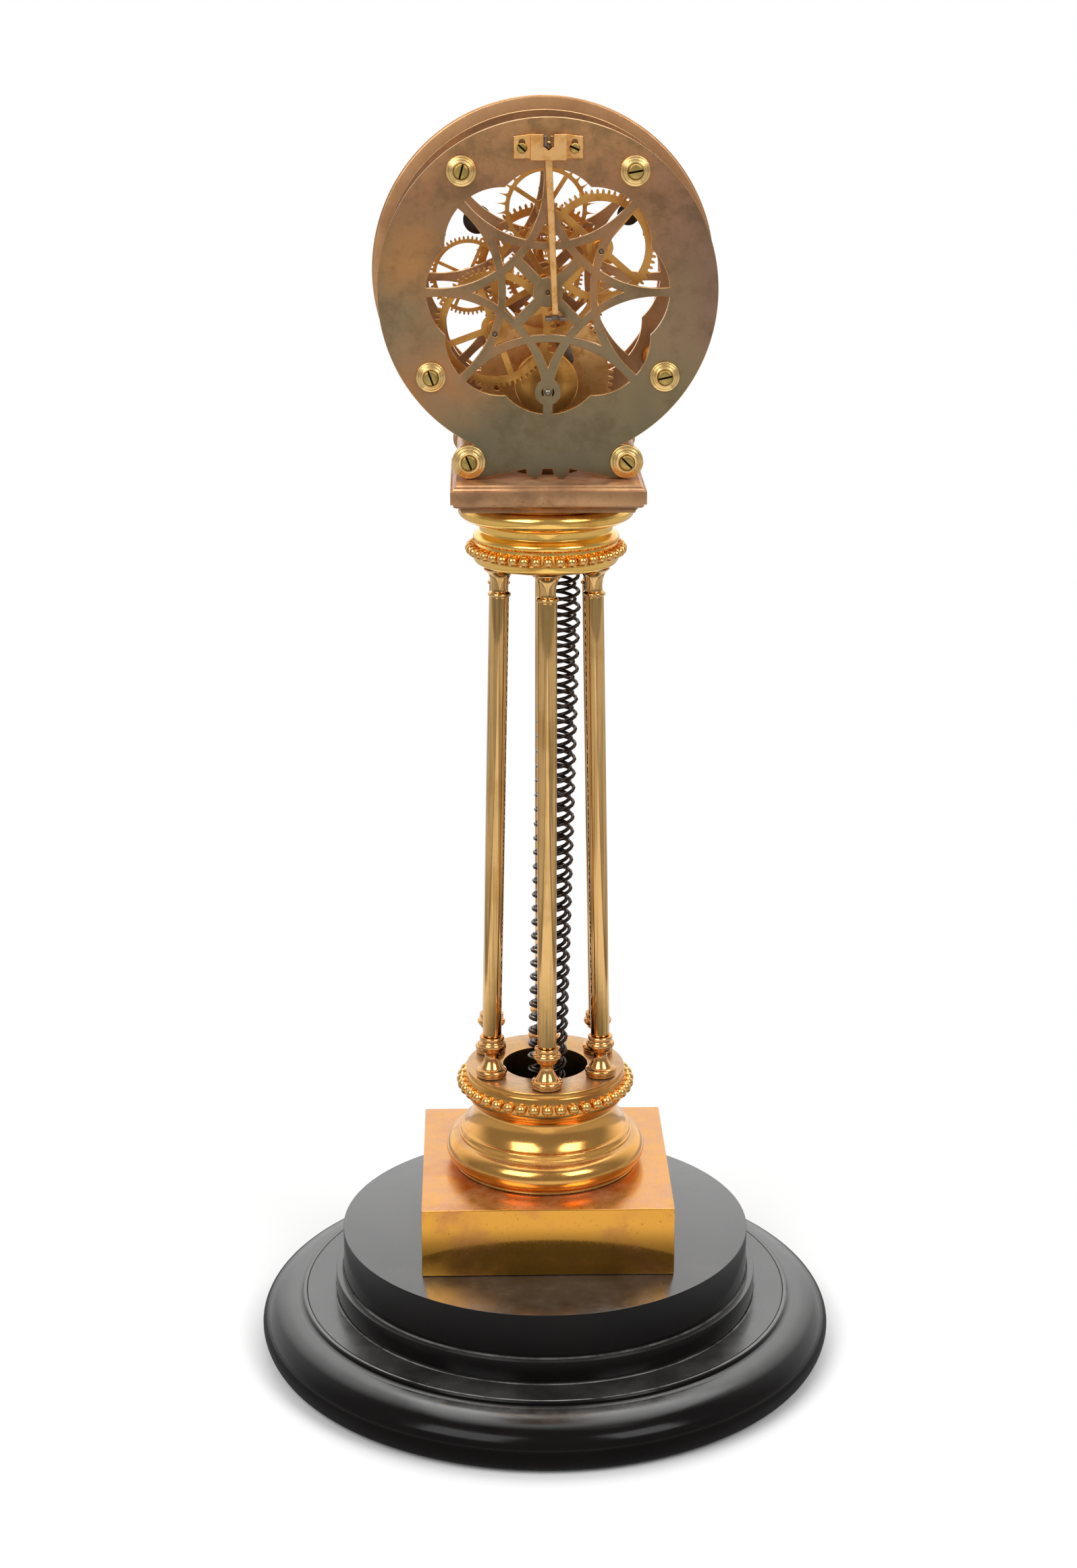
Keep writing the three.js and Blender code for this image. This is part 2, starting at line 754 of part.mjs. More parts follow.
// Outline of a wheel's teeth, with a tooth in the middle of the given direction
function toothedOutline(teeth, pitchRadius, toward, tipShare = wheelTipShare) {
  const module = (2 * pitchRadius) / teeth;
  const tip = pitchRadius + wheelAddendumShare * module;
  const root = pitchRadius - wheelDedendumShare * module;
  const pitch = 360 / teeth;
  const points = [];
  for (let i = 0; i < teeth; i += 1) {
    const middle = toward + i * pitch;
    points.push(polar(tip, middle - tipShare * pitch));
    if (tipShare > 0) points.push(polar(tip, middle + tipShare * pitch));
    points.push(polar(root, middle + pitch / 2));
  }
  return points;
}

// Outline of a pinion's leaves, with a gap in the middle of the given direction
function leafOutline(leaves, pitchRadius, toward) {
  const module = (2 * pitchRadius) / leaves;
  const tip = pitchRadius + leafAddendumShare * module;
  const root = pitchRadius - leafDedendumShare * module;
  const pitch = 360 / leaves;
  const points = [];
  for (let i = 0; i < leaves; i += 1) {
    const middle = toward + (i + 0.5) * pitch;
    const rootHalf = (leafRootShare * pitch * pitchRadius) / root;
    points.push(polar(root, middle - Math.min(rootHalf, pitch * 0.4)));
    points.push(polar(tip, middle - leafTipShare * pitch));
    points.push(polar(tip, middle + leafTipShare * pitch));
    points.push(polar(root, middle + Math.min(rootHalf, pitch * 0.4)));
  }
  return points;
}

// The windows between a wheel's spokes
function windows(spokes, rimInner, hub, width, turn) {
  const holes = [];
  for (let k = 0; k < spokes; k += 1) {
    const from = turn + (k * 360) / spokes;
    const to = from + 360 / spokes;
    const lean = (radius) => THREE.MathUtils.radToDeg(Math.asin(width / 2 / radius));
    const inner = arc(centreAt, hub, to - lean(hub), from + lean(hub), 1);
    const outer = arc(centreAt, rimInner, from + lean(rimInner), to - lean(rimInner), 3);
    holes.push([...outer, ...inner]);
  }
  return holes;
}

const bearing = (from, to) => THREE.MathUtils.radToDeg(Math.atan2(to.y - from.y, to.x - from.x));
const halfway = (teeth, leaves, from, to) => (from.distanceTo(to) * teeth) / (teeth + leaves);

// A spoked train wheel
function spokedWheel(name, at, teeth, pitchRadius, toward, nearY, turn) {
  const module = (2 * pitchRadius) / teeth;
  const rimInner = pitchRadius - wheelDedendumShare * module - rimWidth;
  const bore = ring(centreAt, arborRadius + holeGap, 8);
  const holes = [bore, ...windows(4, rimInner, wheelHubRadius, wheelSpokeWidth, turn)];
  const outline = toothedOutline(teeth, pitchRadius, toward);
  add(name, flat(outline, nearY, nearY + wheelThickness, holes, at), wheelBrass);
}

// An arbor with a pivot at each end and its pinion
function pinionArbor(name, at, pitchRadius, toward, pinionY, from, to, leaves = pinionLeaves) {
  const shoulder = plateThickness / 3;
  const arbor = turnedAlongY([
    [0, from],
    [pivotRadius, from],
    [pivotRadius, from + plateThickness + shoulder],
    [arborRadius, from + plateThickness + shoulder],
    [arborRadius, to - plateThickness - shoulder],
    [pivotRadius, to - plateThickness - shoulder],
    [pivotRadius, to],
    [0, to],
  ], 6, at);
  const pinion = flat(leafOutline(leaves, pitchRadius, toward), pinionY, pinionY + pinionLength, [], at);
  add(name, joined(arbor, pinion), steel);
}

// Going train from the intermediate arbor to the escape wheel
function makeTrain() {
  const y = (depth) => backInnerY + depth;
  const pivotFrom = backFaceY;
  const pivotTo = frontFaceY;
  const pinionBefore = (depth, thickness) => y(depth) - (pinionLength - thickness) / 2;

  const greatPitch = halfway(greatTeeth, pinionLeaves, drumAt, intermediateAt);
  const intermediatePitch = halfway(wheelTeeth, pinionLeaves, intermediateAt, centreAt);
  const centrePitch = halfway(wheelTeeth, pinionLeaves, centreAt, thirdAt);
  const thirdPitch = halfway(thirdTeeth, pinionLeaves, thirdAt, escapeAt);

  pinionArbor('intermediate_arbor', intermediateAt, (greatPitch * pinionLeaves) / greatTeeth,
    bearing(intermediateAt, drumAt), pinionBefore(greatWheelDepth, greatWheelThickness), pivotFrom, pivotTo);
  spokedWheel('intermediate_wheel', intermediateAt, wheelTeeth, intermediatePitch,
    bearing(intermediateAt, centreAt), y(intermediateWheelDepth), intermediateSpokeTurn);
  spokedWheel('centre_wheel', centreAt, wheelTeeth, centrePitch,
    bearing(centreAt, thirdAt), y(centreWheelDepth), centreSpokeTurn);
  pinionArbor('third_arbor', thirdAt, (centrePitch * pinionLeaves) / wheelTeeth,
    bearing(thirdAt, centreAt), pinionBefore(centreWheelDepth, wheelThickness), pivotFrom, pivotTo);
  spokedWheel('third_wheel', thirdAt, thirdTeeth, thirdPitch,
    bearing(thirdAt, escapeAt), y(thirdWheelDepth), thirdSpokeTurn);
  pinionArbor('escape_arbor', escapeAt, (thirdPitch * pinionLeaves) / thirdTeeth,
    bearing(escapeAt, thirdAt), pinionBefore(thirdWheelDepth, wheelThickness), pivotFrom, pivotTo);

  makeCentreArbor((intermediatePitch * pinionLeaves) / wheelTeeth, pinionBefore(
    intermediateWheelDepth, wheelThickness));
  makeGreatWheel(greatPitch, y(greatWheelDepth));
}

// Centre arbor: its pinion between the plates, and the long end that carries the minute hand
function makeCentreArbor(pitchRadius, pinionY) {
  const shoulder = plateThickness / 3;
  const end = frontFaceY + cannonDepth + cannonPipeLength + seatGap + handThickness + seatGap;
  const arbor = turnedAlongY([
    [0, backFaceY],
    [pivotRadius, backFaceY],
    [pivotRadius, backInnerY + shoulder],
    [arborRadius, backInnerY + shoulder],
    [arborRadius, end],
    [arborRadius * 1.7, end],
    [arborRadius * 1.7, end + handThickness],
    [arborRadius, end + 2 * handThickness],
    [0, end + 2 * handThickness],
  ], 8);
  const outline = leafOutline(pinionLeaves, pitchRadius, bearing(centreAt, intermediateAt));
  add('centre_arbor', joined(arbor, flat(outline, pinionY, pinionY + pinionLength)), steel);
}

// Great wheel with a stud for the click on its back
function makeGreatWheel(pitchRadius, nearY) {
  const holes = [ring(centreAt, windingRadius + holeGap, 10)];
  for (let k = 0; k < greatHoles; k += 1) {
    holes.push(ring(polar(greatHoleReach, (k * 360) / greatHoles), greatHoleRadius, 8));
  }
  const outline = toothedOutline(greatTeeth, pitchRadius, bearing(drumAt, intermediateAt), 0);
  const wheel = flat(outline, nearY, nearY + greatWheelThickness, holes, drumAt);
  const studAt = polar(clickPivotReach, clickPivotAngle).add(drumAt);
  const studEnd = backInnerY + ratchetDepth - holeGap;
  const stud = turnedAlongY(rod(clickStudRadius, studEnd, nearY + greatWheelThickness / 2), 8, studAt);
  add('great_wheel', joined(wheel, stud), wheelBrass);

  const clickFrom = backInnerY + ratchetDepth;
  const pivot = polar(clickPivotReach, clickPivotAngle);
  const tip = polar(ratchetRadius + palletLift, clickTipAngle);
  const heel = polar(ratchetRadius + palletLift + clickStudRadius, clickTipAngle - 2 * clickStudRadius);
  const boss = arc(pivot, clickBossRadius, clickPivotAngle - 60, clickPivotAngle + 160, 6);
  const outlineOfClick = [heel, ...boss, tip];
  const bore = ring(pivot, clickStudRadius + holeGap, 8);
  add('click', flat(outlineOfClick, clickFrom, clickFrom + ratchetThickness, [bore], drumAt), steel);
}

// Winding arbor with its key square, the line drum and the ratchet wheel
function makeDrum() {
  const y = (depth) => backInnerY + depth;
  const squareFrom = frontFaceY + windingReach / 3;
  const squareTo = frontFaceY + windingReach;
  const shaft = turnedAlongY(rod(windingRadius, backFaceY, squareFrom), 12, drumAt);
  const square = flat(block(windingSquare, windingSquare, centreAt), squareFrom - holeGap, squareTo, [], drumAt);
  add('winding_arbor', joined(shaft, square), steel);

  const bore = windingRadius + holeGap;
  const from = y(drumFlangeDepth);
  const barrel = lineReach - lineRadius - holeGap;
  add('line_drum', turnedAlongY([
    [bore, from],
    [drumFlangeRadius, from],
    [drumFlangeRadius, from + drumFlangeThickness],
    [barrel, from + drumFlangeThickness],
    [barrel, from + drumWidth],
    [barrel + 3 * lineRadius, from + drumWidth],
    [barrel + 3 * lineRadius, from + drumWidth + drumFlangeThickness],
    [bore, from + drumWidth + drumFlangeThickness],
    [bore, from],
  ], 14, drumAt), wheelBrass);

  const points = [];
  const pitch = 360 / ratchetTeeth;
  for (let i = 0; i < ratchetTeeth; i += 1) {
    points.push(polar(ratchetRadius, i * pitch));
    points.push(polar(ratchetRadius - ratchetToothHeight, (i + 0.1) * pitch));
  }
  add('ratchet_wheel', flat(points, y(ratchetDepth), y(ratchetDepth) + ratchetThickness,
    [ring(centreAt, bore, 10)], drumAt), steel);
}

// Escape wheel: thirty long pointed teeth, a gap over each pallet
function makeEscapeWheel() {
  const pitch = 360 / escapeTeeth;
  const first = 90 - palletReachAngle + pitch / 2;
  const root = escapeRadius - escapeToothHeight;
  const outline = [];
  for (let i = 0; i < escapeTeeth; i += 1) {
    const tooth = first + i * pitch;
    outline.push(polar(root, tooth - pitch * 0.2));
    outline.push(polar(escapeRadius, tooth));
    outline.push(polar(root, tooth + pitch * 0.12));
  }
  const nearY = backInnerY + escapeWheelDepth;
  const bore = ring(centreAt, arborRadius + holeGap, 8);
  const rimInner = root - rimWidth * 0.6;
  const holes = [bore, ...windows(4, rimInner, wheelHubRadius, wheelSpokeWidth * 0.7, escapeSpokeTurn)];
  add('escape_wheel', flat(outline, nearY, nearY + escapeThickness, holes, escapeAt), wheelBrass);
}

// Anchor pallets on their arbor, which reaches through the back plate to the crutch
function makePallets() {
  const drop = palletRise - escapeRise;
  const nib = (degrees) => polar(escapeRadius + palletLift, 90 - degrees).sub(new THREE.Vector2(0, drop));
  const half = palletNibAngle / 2;
  const inner = nib(palletReachAngle - half);
  const outer = nib(palletReachAngle + half);
  const right = [
    inner,
    outer,
    new THREE.Vector2(palletShoulder, inner.y * 0.7),
    new THREE.Vector2(palletBossRadius, palletBossRadius * 0.6),
  ];
  const left = right.map((point) => new THREE.Vector2(-point.x, point.y)).reverse();
  const crown = new THREE.Vector2(0, palletBossRadius);
  const throat = new THREE.Vector2(0, -palletBossRadius);
  const armpit = new THREE.Vector2(inner.x * 0.86, inner.y * 0.55);
  const outline = [
    throat,
    armpit,
    ...right,
    crown,
    ...left,
    new THREE.Vector2(-armpit.x, armpit.y),
  ];
  const nearY = backInnerY + escapeWheelDepth - (palletThickness - escapeThickness) / 2;
  const shoulder = plateThickness / 3;
  const crutchFar = backFaceY - crutchGap;
  const arbor = turnedAlongY([
    [0, crutchFar - crutchThickness - holeGap],
    [pivotRadius, crutchFar - crutchThickness - holeGap],
    [pivotRadius, crutchFar + holeGap],
    [arborRadius * 0.9, crutchFar + holeGap],
    [arborRadius, backInnerY],
    [arborRadius, frontInnerY - shoulder],
    [pivotRadius, frontInnerY - shoulder],
    [pivotRadius, frontFaceY],
    [0, frontFaceY],
  ], 8, palletAt);
  const anchor = flat(outline, nearY, nearY + palletThickness, [], palletAt);
  add('pallets', joined(arbor, anchor), steel);
}

// Crutch outside the back plate: a brass rod with a steel fork at its foot
function makeCrutch() {
  const farY = backFaceY - crutchGap;
  const nearY = farY - crutchThickness;
  const half = crutchWidth / 2;
  const foot = polar(crutchLength, crutchLean - 90);
  const bar = [
    new THREE.Vector2(-half, 0),
    new THREE.Vector2(foot.x - half, foot.y),
    new THREE.Vector2(foot.x + half, foot.y),
    new THREE.Vector2(half, 0),
  ];
  const eye = ring(centreAt, crutchWidth * 0.8, 10);
  const hole = turnedAlongY(rod(pivotRadius + holeGap, nearY - cutOverrun, farY + cutOverrun), 8, palletAt);
  const rodAndEye = joined(flat(bar, nearY, farY, [], palletAt), flat(eye, nearY, farY, [], palletAt));
  add('crutch', cut(rodAndEye, hole), shaftBrass);

  const top = foot.clone().sub(new THREE.Vector2(0, seatGap));
  const bridge = block(forkWidth, forkHeight, new THREE.Vector2(top.x, top.y - forkHeight / 2));
  const pieces = [flat(bridge, nearY, farY, [], palletAt)];
  for (const side of [-1, 1]) {
    const pinAt = new THREE.Vector2(top.x + (side * forkWidth) / 3, top.y - forkHeight / 2).add(palletAt);
    pieces.push(turnedAlongY(rod(forkPinRadius, nearY - forkPinLength, farY - crutchThickness / 2), 8, pinAt));
  }
  add('crutch_fork', joined(...pieces), steel);
}

// Back cock: a bridge with two screwed flanges and a keyhole slot for the pendulum's suspension
function makeCock() {
  const low = centreZ + palletRise - cockBelow;
  const face = backFaceY - seatGap;
  const outer = face - cockProud;
  const half = cockWidth / 2;
  const bridge = cockBridgeWidth / 2;
  const legs = bridge - cockPlate;
  const section = [
    [-half, face], [-legs, face], [-legs, outer + cockPlate], [legs, outer + cockPlate],
    [legs, face], [half, face], [half, face - cockFlange], [bridge, face - cockFlange],
    [bridge, outer], [-bridge, outer], [-bridge, face - cockFlange], [-half, face - cockFlange],
  ].map(([x, y]) => new THREE.Vector2(x, y));
  const body = new THREE.ExtrudeGeometry(new THREE.Shape(section), {
    depth: cockHeight,
    bevelEnabled: false,
  });
  body.translate(0, 0, low);
  const slotMiddle = new THREE.Vector2(0, low - centreZ + cockHeight - cockSlotHeight / 2);
  const slot = flat(block(cockSlotWidth, cockSlotHeight + cutOverrun, slotMiddle), outer - cutOverrun,
    outer + cockPlate + cutOverrun);
  const eyeAt = new THREE.Vector2(0, slotMiddle.y - cockSlotHeight / 2);
  const eye = turnedAlongY(rod(cockSlotWidth * 0.8, outer - cutOverrun, outer + cockPlate + cutOverrun), 8, eyeAt);
  const screws = [-1, 1].map((side, i) => {
    const at = new THREE.Vector2(side * cockScrewReach, low - centreZ + cockHeight / 2);
    const head = face - cockFlange;
    const screw = turnedAlongY(rod(cockScrewRadius, head + cockFlange / 2, head - screwHeadHeight), 10, at);
    const slotLine = turnedBy(block(3 * cockScrewRadius, screwSlotWidth, centreAt), 100 + 60 * i);
    const slotCutter = flat(slotLine, head - screwHeadHeight - cutOverrun,
      head - screwHeadHeight + screwSlotDepth, [], at);
    return cut(screw, slotCutter);
  });
  add('back_cock', joined(cut(body, slot, eye), ...screws), wheelBrass);
}

// Motion work in front of the front plate
function makeMotionWork() {
  const cannonY = frontFaceY + cannonDepth;
  const hourY = frontFaceY + hourDepth;
  const minutePitch = halfway(minuteTeeth, minuteTeeth, centreAt, minuteAt);
  const hourPitch = halfway(hourTeeth, minuteLeaves, centreAt, minuteAt);

  const cannon = toothedOutline(minuteTeeth, minutePitch, 180, 0);
  const cannonBore = ring(centreAt, arborRadius + holeGap, 10);
  const cannonWheel = flat(cannon, cannonY, cannonY + wheelThickness, [cannonBore]);
  const cannonPipe = turnedAlongY(tubeRows(cannonPipeRadius, arborRadius + holeGap,
    cannonY + seatGap, cannonY + cannonPipeLength), 10);
  add('cannon_wheel', joined(cannonWheel, cannonPipe), wheelBrass);

  const minute = toothedOutline(minuteTeeth, minutePitch, 180 / minuteTeeth, 0);
  const minuteModule = (2 * minutePitch) / minuteTeeth;
  const minuteRim = minutePitch - wheelDedendumShare * minuteModule - rimWidth / 2;
  const minuteWheel = flat(minute, cannonY, cannonY + wheelThickness,
    windows(4, minuteRim, minuteHubRadius, wheelSpokeWidth / 2, minuteSpokeTurn), minuteAt);
  const pinionEnd = hourY + wheelThickness + seatGap;
  const pinion = flat(leafOutline(minuteLeaves, (hourPitch * minuteLeaves) / hourTeeth, 0),
    cannonY + seatGap, pinionEnd, [], minuteAt);
  const stem = turnedAlongY(rod(pivotRadius, frontInnerY, pinionEnd + seatGap), 8, minuteAt);
  add('minute_wheel', joined(minuteWheel, pinion, stem), wheelBrass);

  const hourModule = (2 * hourPitch) / hourTeeth;
  const hourRim = hourPitch - wheelDedendumShare * hourModule - rimWidth;
  const hour = toothedOutline(hourTeeth, hourPitch, 180, 0);
  const pipeBore = cannonPipeRadius + holeGap;
  const hourWheel = flat(hour, hourY, hourY + wheelThickness, [
    ring(centreAt, pipeBore, 10), ...windows(4, hourRim, wheelHubRadius, wheelSpokeWidth, 10)]);
  const hourPipe = turnedAlongY(tubeRows(hourPipeRadius, pipeBore,
    hourY + seatGap, hourY + hourPipeLength), 10);
  add('hour_wheel', joined(hourWheel, hourPipe), wheelBrass);
}

// One hand: hub, slim stem, round eye and pointed tip
function hand(name, angle, eyeReach, eyeRadius, tipReach, boreRadius, nearY) {
  const half = handStem / 2;
  const lean = (radius) => THREE.MathUtils.radToDeg(Math.asin(half / radius));
  const eyeAt = new THREE.Vector2(eyeReach, 0);
  const upper = [
    ...arc(eyeAt, eyeRadius, -180 + lean(eyeRadius), -lean(eyeRadius), 5),
    new THREE.Vector2(tipReach, 0),
    ...arc(eyeAt, eyeRadius, lean(eyeRadius), 180 - lean(eyeRadius), 5),
  ];
  const hub = arc(centreAt, handHubRadius, lean(handHubRadius), 360 - lean(handHubRadius), 8);
  const outline = turnedBy([...upper, ...hub], angle);
  const bore = ring(centreAt, boreRadius, 10);
  add(name, flat(outline, nearY, nearY + handThickness, [bore]), blackSteel);
}

// Chapter ring on four posts, and the two hands
function makeDial() {
  const nearY = frontFaceY + ringDepth;
  const body = flat(ring(centreAt, ringOuter, 42), nearY, nearY + ringThickness,
    [ring(centreAt, ringInner, 28)]);
  const posts = [];
  for (let k = 0; k < ringPosts; k += 1) {
    const at = polar(ringPostReach, (k * 360) / ringPosts);
    posts.push(turnedAlongY(rod(ringPostRadius, frontFaceY + seatGap, nearY + ringThickness / 2), 6, at));
  }
  add('chapter_ring', joined(body, ...posts), bronze);
  const hourY = frontFaceY + hourDepth + hourPipeLength + seatGap;
  const minuteY = frontFaceY + cannonDepth + cannonPipeLength + seatGap;
  hand('hour_hand', hourHandAngle, hourHandBlob, hourHandBlobRadius, hourHandTip,
    cannonPipeRadius + holeGap, hourY);
  hand('minute_hand', minuteHandAngle, minuteHandBlob, minuteHandBlobRadius, minuteHandTip,
    arborRadius + holeGap, minuteY);
}

// Drive spring: one unbroken tube from the anchor in the plinth to the hook under the drum
const anchorZ = socleZ;
const springFrom = anchorZ + anchorHeight + seatGap;
const springTo = drumZ - hookTopBelowDrum - hookLength - seatGap;
const springEnd = new THREE.Vector3(springLean, lineY, springTo);

function springPoints() {
  const points = [];
  const start = new THREE.Vector3(0, 0, springFrom);
  const steps = springTurns * springSteps;
  const low = start.clone().add(new THREE.Vector3(0, 0, springStubLength));
  const high = springEnd.clone().sub(new THREE.Vector3(0, 0, springStubLength));
  points.push(start);
  for (let i = 0; i <= steps; i += 1) {
    const share = i / steps;
    const nearEnd = Math.min(i, steps - i) / (springSteps / 2);
    const radius = springRadius * Math.min(1, nearEnd);
    const turn = (2 * Math.PI * i) / springSteps;
    const point = low.clone().lerp(high, share);
    point.x += radius * Math.cos(turn);
    point.y += radius * Math.sin(turn);
    points.push(point);
  }
  points.push(springEnd);
  return points;
}

function leastGap(points, radius, skip) {
  let least = Infinity;
  for (let i = 0; i < points.length; i += 1) {
    for (let k = i + skip; k < points.length; k += 1) {
      least = Math.min(least, points[i].distanceTo(points[k]) - 2 * radius);
    }
  }
  return least;
}

function makeSpring() {
  const points = springPoints();
  console.log(`drive_spring: least gap to itself ${leastGap(points, springWire, springSteps - 2).toFixed(2)} mm`);
  add('drive_spring', tube(points, springWire, springSides), blackSteel);
  add('spring_anchor', turned([
    [0, anchorZ],
    [anchorRadius, anchorZ],
    [anchorRadius, anchorZ + anchorHeight / 4],
    [anchorStem, anchorZ + anchorHeight / 3],
    [anchorStem, anchorZ + anchorHeight],
    [0, anchorZ + anchorHeight],
  ], 8), steel);
  const hookFrom = springTo + seatGap;
  const hook = turned([
    [0, hookFrom],
    [hookRadius * 0.8, hookFrom],
    [hookRadius, hookFrom + hookLength / 4],
    [hookRadius, hookFrom + hookLength * 0.7],
    [lineRadius * 1.5, hookFrom + hookLength],
    [0, hookFrom + hookLength],
  ], 10);
  hook.translate(springLean, lineY, 0);
  add('spring_hook', hook, steel);
}

// Line from the hook up to the drum
function makeLine() {
  const lineFrom = new THREE.Vector3(springLean, lineY, drumZ - hookTopBelowDrum + seatGap);
  const lineTo = new THREE.Vector3(lineReach, lineY, drumZ);
  add('drive_line', tube([lineFrom, lineTo], lineRadius, 8), gut);
}

makeBase();
makePlinth();
makeSocle();
makeColumns();
makeCapital();
makeTable();
makePlates();
makePillars();
makeTrain();
makeDrum();
makeEscapeWheel();
makePallets();
makeCrutch();
makeCock();
makeMotionWork();
makeDial();
makeSpring();
makeLine();

export default clock;
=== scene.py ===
import json
from math import asin, atan2, cos, degrees, hypot, pi, radians, sin

import bmesh
import bpy
from mathutils import Matrix, Vector

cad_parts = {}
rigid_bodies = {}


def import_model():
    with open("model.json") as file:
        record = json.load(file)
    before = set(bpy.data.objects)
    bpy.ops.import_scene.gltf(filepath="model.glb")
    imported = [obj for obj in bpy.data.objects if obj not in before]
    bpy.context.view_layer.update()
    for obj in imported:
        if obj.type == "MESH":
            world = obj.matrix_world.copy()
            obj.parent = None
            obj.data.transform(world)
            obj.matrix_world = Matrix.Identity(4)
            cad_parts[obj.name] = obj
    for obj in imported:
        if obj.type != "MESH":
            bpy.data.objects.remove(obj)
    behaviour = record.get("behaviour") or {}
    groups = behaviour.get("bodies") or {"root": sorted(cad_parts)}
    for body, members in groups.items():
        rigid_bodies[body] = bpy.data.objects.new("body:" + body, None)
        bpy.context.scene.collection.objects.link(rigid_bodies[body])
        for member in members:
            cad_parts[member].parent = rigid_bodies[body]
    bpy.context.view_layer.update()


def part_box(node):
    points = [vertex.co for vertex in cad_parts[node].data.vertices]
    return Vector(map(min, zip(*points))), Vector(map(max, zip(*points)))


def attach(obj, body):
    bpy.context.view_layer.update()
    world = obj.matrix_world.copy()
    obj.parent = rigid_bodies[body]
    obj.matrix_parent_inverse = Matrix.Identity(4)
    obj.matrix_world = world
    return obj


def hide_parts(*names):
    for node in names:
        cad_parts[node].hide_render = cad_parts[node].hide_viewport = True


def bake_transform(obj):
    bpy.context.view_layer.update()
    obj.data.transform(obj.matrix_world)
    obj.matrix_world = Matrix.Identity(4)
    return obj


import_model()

bl_info = {
    "name": "Skeleton clock",
    "version": (1, 0, 0),
    "blender": (4, 5, 0),
    "location": "3D View > Sidebar > Clock",
    "description": "Dresses a skeleton clock on six leaning columns",
    "category": "Add Mesh",
}

MM = 0.001
SEAT = 28
DRUM_STEP = 39
BASE_TOP = 61
PLINTH_LOW = 61.3
SOCLE_LOW = 95.6
SOCLE_TOP = 145.2
CAPITAL_LOW = 395.13
TABLE_LOW = 425.23
TABLE_TOP = 438.23
FOOT_REACH = 7.4
FOOT_CIRCLE = 30.5
NECK_CIRCLE = 24.8
COLUMN = 249
LEAN = asin((FOOT_CIRCLE - NECK_CIRCLE) / COLUMN)
SPRING_LOW = 107.9
SPRING_HIGH = 405.93
HOOK_AT = (7.4, 6)
HOOK_TOP = 415.6
DRUM_LEVEL = 477.2
CENTRE_Z = 521.135
BACK_FACE = -27
BACK_INNER = -24
FRONT_INNER = 36
FRONT_FACE = 39
DRUM_AT = (0, -43.9)
CLICK_AT = (17, 62)
INTERMEDIATE_AT = (-23.389, -18.142)
THIRD_AT = (23.409, 17.704)
ESCAPE_AT = (0, 33.1)
PALLETS_AT = (0, 62.6)
MINUTE_AT = (-35.1, 0)
UPPER_PILLARS = ((-37.763, 52.167), (37.763, 52.167))
LOWER_PILLARS = ((-51.778, -36.933), (51.778, -36.933))
FOOT_PILLARS = ((-35.2, -74.8), (35.2, -74.8))


# Colours and nodes

def linear(code):
    """Turns an sRGB hex colour into the linear one that a node takes."""
    parts = [int(code[i:i + 2], 16) / 255 for i in (1, 3, 5)]
    return [p / 12.92 if p <= 0.04045 else ((p + 0.055) / 1.055) ** 2.4 for p in parts]


def add(tree, kind, sockets=None, **settings):
    """Adds a node, gives it its settings, and fills or links its sockets."""
    made = tree.nodes.new(kind)
    for name, value in settings.items():
        setattr(made, name, value)
    for name, value in (sockets or {}).items():
        socket = made.inputs[name]
        if isinstance(value, bpy.types.NodeSocket):
            tree.links.new(value, socket)
        else:
            socket.default_value = value
    return made


def blank_material(name):
    """A new material with nothing in its node tree but the output."""
    material = bpy.data.materials.new(name)
    material.use_nodes = True
    tree = material.node_tree
    tree.nodes.clear()
    return material, tree, tree.nodes.new("ShaderNodeOutputMaterial")


def noise(tree, spot, size, detail=4, roughness=0.6, distortion=0.0):
    """Noise with clouds about this many millimetres wide."""
    return add(tree, "ShaderNodeTexNoise", {
        "Vector": spot, "Scale": 1 / (size * MM), "Detail": detail, "Roughness": roughness,
        "Distortion": distortion}).outputs["Fac"]


def remap(tree, value, low, high, start=0.0, end=1.0, soft=False):
    """Spreads a value from one range to another, within its ends."""
    return add(tree, "ShaderNodeMapRange", {
        "Value": value, "From Min": low, "From Max": high, "To Min": start, "To Max": end},
        interpolation_type="SMOOTHSTEP" if soft else "LINEAR").outputs["Result"]


def calc(tree, operation, a, b):
    return add(tree, "ShaderNodeMath", {0: a, 1: b}, operation=operation).outputs[0]


def mixed(tree, share, a, b):
    """Mixes two colours, each a linear colour or a socket."""
    a, b = (c if isinstance(c, bpy.types.NodeSocket) else (*c, 1) for c in (a, b))
    return add(tree, "ShaderNodeMix", {0: share, 6: a, 7: b}, data_type="RGBA").outputs[2]


def bumped(tree, height, strength, distance, under=None):
    """A bump of this many millimetres, on top of another one."""
    sockets = {"Strength": strength, "Distance": distance * MM, "Height": height}
    if under is not None:
        sockets["Normal"] = under
    return add(tree, "ShaderNodeBump", sockets).outputs["Normal"]


